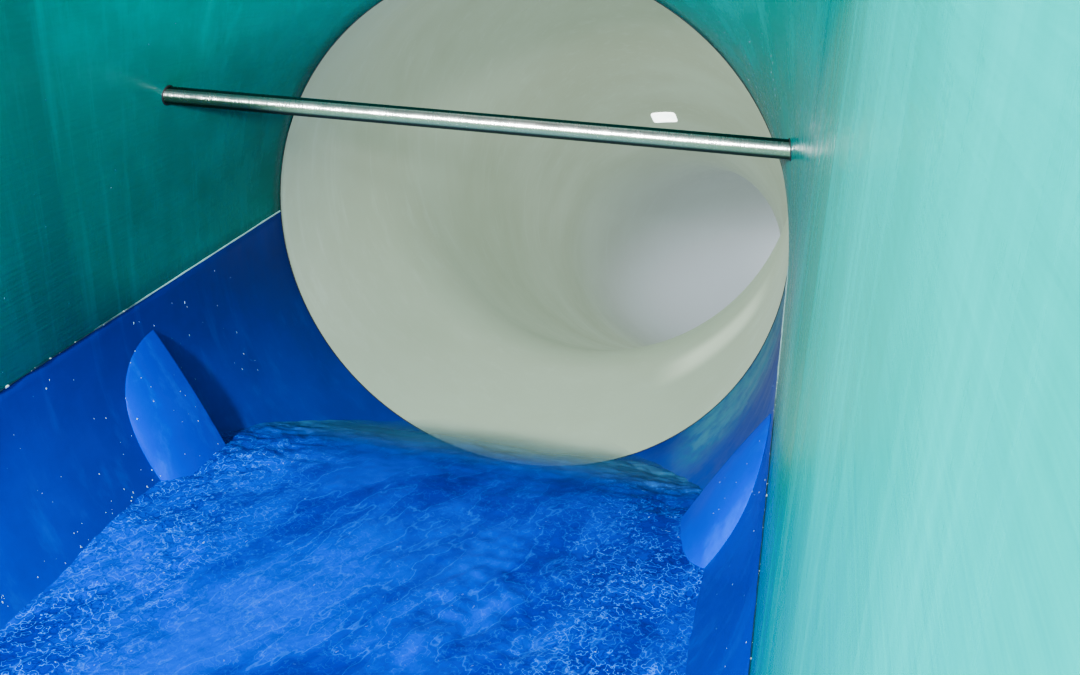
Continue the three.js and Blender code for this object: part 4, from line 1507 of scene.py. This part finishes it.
def water_finish():
    finish = Finish("pool_water", IOR=1.25, Specular_IOR_Level=0.14)
    broad = finish.cloud(2.6, 4, 0.55, finish.stretched(1.6, 0.8, 1.0, 0.5))
    mid = finish.cloud(11.0, 3, 0.5, finish.stretched(1.7, 0.6, 1.0, 0.4))
    fine = finish.cloud(62.0, 2, 0.5)
    tiny = finish.cloud(150.0, 1, 0.5)
    by_wall = finish.band(abs(finish.axis("X")), 0.20, 0.42, 0.2, 1.0)
    busy = by_wall * finish.band(finish.cloud(5.0, 3, 0.6), 0.38, 0.56, 0.45, 1.0)
    patches = finish.band(broad * 0.6 + mid * 0.4, 0.38, 0.62)
    # Painted highlights along the ripples and on the crests, and painted shade in the hollows.
    painted_long_highlights = finish.band(abs(mid - 0.5), 0.0, 0.016, 0.4, 0.0)
    painted_crest_highlights = finish.band(abs(fine - 0.54), 0.0, 0.030, 0.9, 0.0) * busy
    painted_hollow_shade = finish.band(abs(fine - 0.43), 0.0, 0.030, 0.8, 0.0) * busy
    colour = finish.blend(patches, rgb(0, 34, 136), rgb(6, 64, 184))
    colour = finish.blend(painted_long_highlights, colour, rgb(26, 98, 208))
    colour = finish.blend(painted_crest_highlights, colour, rgb(46, 124, 230))
    colour = finish.blend(painted_hollow_shade, colour, rgb(0, 18, 92))
    # Painted glints where the chop is busy.
    glint = finish.band(tiny * 0.5 + fine * 0.5, 0.66, 0.71, 0.0, 0.6) * busy
    colour = finish.blend(glint, colour, rgb(150, 204, 250))
    spill = finish.band(finish.axis("Y"), MOUTH_Y - 0.50, MOUTH_Y - 0.15)
    colour = finish.blend(spill, colour, rgb(96, 164, 204))
    still = finish.band(finish.axis("Y"), MOUTH_Y - 1.0, MOUTH_Y - 0.45)
    calm = 1 - still * 0.9
    ripples = finish.bump(mid * calm, 0.5, 0.02)
    ripples = finish.bump(fine * busy * calm, 0.6, 0.005, ripples)
    ripples = finish.bump(tiny * busy * calm, 0.4, 0.002, ripples)
    rough = finish.band(fine, 0.3, 0.7, 0.06, 0.14) + still * 0.45
    film = finish.band(finish.axis("Y"), MOUTH_Y - 0.55, MOUTH_Y + 0.15, 1.0, 0.0)
    return finish.drive(Base_Color=colour, Roughness=rough, Alpha=film, Normal=ripples)


pool_water = water_finish()
water.data.materials.append(pool_water)
settle(water, "blue_grp")
print(pool_water.name, "has", len(pool_water.node_tree.nodes), "nodes")

# %% [markdown]
# ## Splashes
# Drops stand on the walls where they were thrown. Each is a small ball pressed flat against the wall
# and stretched a little downwards. Places are drawn with a fixed seed, so every run gives the same
# drops: on the tub and the hood from their formulas, and on a scoop from the faces that look up
# the slide. A boolean may hand back its faces in another order each run, so they are sorted first.

# %% Splashes
chance = random.Random(7)
FLAT = 0.45


def drop_finish():
    finish = Finish("drop_water", IOR=1.333, Transmission_Weight=0.6)
    tone = finish.blend(finish.band(finish.cloud(90.0), 0.4, 0.6), rgb(150, 200, 235), rgb(205, 232, 250))
    return finish.drive(Base_Color=tone, Roughness=finish.band(finish.cloud(30.0), 0.3, 0.7, 0.02, 0.06))


def wall_spot(side, y, z):
    """A point on the inside of the tub or hood at this height, and the direction off the wall."""
    if z < 0:
        x = side * math.sqrt(max(BORE**2 - z * z, 0))
        out = Vector((x, 0, z)).normalized()
    else:
        x = side * hood_half_width(y, z)
        out = Vector((2 * x, z * z * hood_rate(y), 2 * z * hood_blend(y))).normalized()
    return MOUTH + Vector((x, y, z)), -out


def piece_spot(piece):
    """A point on the face of a piece that looks up the slide, and the direction off it."""
    faces = [f for f in piece.data.polygons if f.normal.y < -0.03 and f.normal.x * f.center.x < 0]
    face = chance.choice(sorted(faces, key=lambda f: tuple(f.center)))
    return face.center.copy(), face.normal.copy()


def add_drops(name, count, size, side=0, y_range=(), z_range=(), piece=None):
    bpy.ops.mesh.primitive_ico_sphere_add(subdivisions=2, radius=1)
    pattern = new_piece("drop")
    drops = []
    for _ in range(count):
        if piece:
            place, inward = piece_spot(piece)
        else:
            place, inward = wall_spot(side, chance.uniform(*y_range), chance.uniform(*z_range))
        radius = chance.uniform(*size) * chance.uniform(0.5, 1.0)
        twin = copy_of(pattern)
        tall = chance.uniform(1.0, 1.7)
        pose = Matrix.Translation(place) @ inward.to_track_quat("Z", "Y").to_matrix().to_4x4()
        twin.matrix_world = pose @ Matrix.Diagonal((radius, radius * tall, radius * FLAT, 1))
        drops.append(twin)
    bpy.data.objects.remove(pattern)
    group = join(name, drops)
    bpy.ops.object.transform_apply(location=True, rotation=True, scale=True)
    smooth(group, 80)
    group.data.materials.append(wet_drop)
    print(name, count)
    return settle(group, "blue_grp")


wet_drop = drop_finish()
add_drops("left_tub_drops", 150, (0.0010, 0.0026), side=-1, y_range=(-2.3, -0.25), z_range=(-0.29, -0.03))
add_drops("left_edge_drops", 90, (0.0008, 0.0022), side=-1, y_range=(-2.2, -0.7), z_range=(-0.305, -0.27))
add_drops("left_hood_drops", 40, (0.0007, 0.0014), side=-1, y_range=(-1.6, -0.08), z_range=(0.02, 0.55))
add_drops("right_hood_drops", 110, (0.0007, 0.0015), side=1, y_range=(-0.42, -0.03), z_range=(0.05, 0.56))
add_drops("right_tub_drops", 50, (0.0008, 0.0018), side=1, y_range=(-1.2, -0.05), z_range=(-0.28, -0.02))
add_drops("left_scoop_drops", 22, (0.0008, 0.0022), piece=bpy.data.objects["left_scoop"])
add_drops("right_scoop_drops", 14, (0.0008, 0.0018), piece=bpy.data.objects["right_scoop"])

# %% [markdown]
# ## The daylight window
# A clear panel is let into the roof of the tube, one section past the drop, and shows as a small
# white patch. A flat grid gets rounded corners, is laid along the slide's line, curved with the wall,
# and given a little thickness. Its surface has a painted glow, which stands for the sky behind it.

# %% The daylight window
WINDOW_AT, WINDOW_LENGTH, WINDOW_T = 3.210, 0.228, 0.0015
WINDOW_LEFT, WINDOW_RIGHT = math.radians(-12.9), math.radians(-1.2)
CORNER_PULL = 0.10
WINDOW_GLOW = 3.2


def add_window():
    bpy.ops.mesh.primitive_grid_add(x_subdivisions=24, y_subdivisions=24, size=1)
    pane = new_piece("roof_window")
    for vert in pane.data.vertices:
        across, along = 2 * vert.co.x, 2 * vert.co.y
        across, along = across * (1 - CORNER_PULL * along**6), along * (1 - CORNER_PULL * across**6)
        angle = WINDOW_LEFT + (across + 1) / 2 * (WINDOW_RIGHT - WINDOW_LEFT)
        s = WINDOW_AT + along / 2 * WINDOW_LENGTH
        radius = BORE - 0.0010
        vert.co = slide_point(s, radius * math.sin(angle), radius * math.cos(angle))
    add_modifier(pane, "SOLIDIFY", thickness=WINDOW_T, offset=0.0)
    face_out(pane)
    smooth(pane, 30)
    finish = Finish("window_light", Emission_Strength=WINDOW_GLOW)
    patches = finish.band(finish.cloud(14.0), 0.35, 0.65)
    tone = finish.blend(patches, rgb(226, 238, 240), rgb(250, 252, 250))
    rough = finish.band(finish.cloud(30.0), 0.3, 0.7, 0.3, 0.5)
    pane.data.materials.append(finish.drive(Base_Color=tone, Emission_Color=tone, Roughness=rough))
    return settle(pane, "pale_grp")


window = add_window()
print(window.name, "faces:", len(window.data.polygons))

# %% [markdown]
# ## Finishes for the steel that keeps its drawn shape
# Cradles, braces and the end wall are flat plate, and their solids are already right. They only
# need their skin: zinc on the steel, gelcoat on the end wall.

# %% Finishes for the steel that keeps its drawn shape
finish_of = {
    "galvanised": galvanised,
    "stainless": stainless,
    "rubber": black_rubber,
    "grey_plastic": grey_pipe,
    "blue_grp": blue_gelcoat,
    "teal_grp": teal_gelcoat,
    "pale_grp": pale_gelcoat,
}
kept = 0
for entry in frame["record"]["subparts"]:
    piece = node[entry["node"]]
    piece.data.materials.clear()
    piece.data.materials.append(finish_of[entry["material_slot"]])
    kept += not piece.hide_render
print("nodes that keep their solids:", kept)

# %% [markdown]
# ## The floor and the light
# A plain pale floor and soft light. The key panel stands upstream and a little to the left: the
# shadows of the bar and of the left scoop in the picture both point back to that spot. A long strip
# behind it draws the bright line along the bar, and a broad panel overhead fills the rest. Two panels
# stand low at the sides. They light the outside and the stand, and the walls keep them out of the
# tub. The view look gives the picture its strong contrast.

# %% The floor and the light
SKY, SKY_STRENGTH = (0.93, 0.96, 1.0, 1), 0.36


def add_panel(name, power, width, height, place, target):
    data = bpy.data.lights.new(name, "AREA")
    data.shape = "RECTANGLE"
    data.size = width
    data.size_y = height
    data.energy = power
    lamp = bpy.data.objects.new(name, data)
    bpy.context.scene.collection.objects.link(lamp)
    aim = (target - place).to_track_quat("-Z", "Y").to_matrix().to_4x4()
    lamp.matrix_world = Matrix.Translation(place) @ aim
    print(name, power, "W")


def add_floor():
    bpy.ops.mesh.primitive_plane_add(size=60, location=(0, 1.5, 0))
    floor = new_piece("floor")
    finish = Finish("floor_paint")
    tone = finish.blend(finish.band(finish.cloud(0.8, 3), 0.3, 0.7), rgb(222, 222, 219), rgb(227, 227, 224))
    rough = finish.band(finish.cloud(5.0), 0.3, 0.7, 0.6, 0.75)
    floor.data.materials.append(finish.drive(Base_Color=tone, Roughness=rough))


def add_sky():
    world = bpy.data.worlds.new("studio")
    world.use_nodes = True
    sky = world.node_tree.nodes["Background"]
    sky.inputs["Color"].default_value = SKY
    sky.inputs["Strength"].default_value = SKY_STRENGTH
    bpy.context.scene.world = world
    bpy.context.scene.view_settings.look = "AgX - Medium High Contrast"


add_floor()
add_sky()
upstream, tube_start = MOUTH + Vector((-0.15, -4.0, 1.45)), MOUTH + Vector((0, 0.5, -0.1))
overhead, behind = Vector((0.5, 0.5, 8.0)), MOUTH + Vector((0, -5.2, 2.3))
add_panel("overhead_panel", 80, width=5.0, height=5.0, place=overhead, target=Vector((0, 0.5, 2)))
add_panel("key_panel", 430, width=0.22, height=0.22, place=upstream, target=tube_start)
for side, word in SIDES:
    place, target = Vector((side * 7.5, 2.0, 2.4)), Vector((0.5, 1.5, 1.0))
    add_panel(f"{word}_side_panel", 400, width=5.0, height=3.0, place=place, target=target)
add_panel("back_strip", 90, width=5.0, height=0.14, place=behind, target=MOUTH)
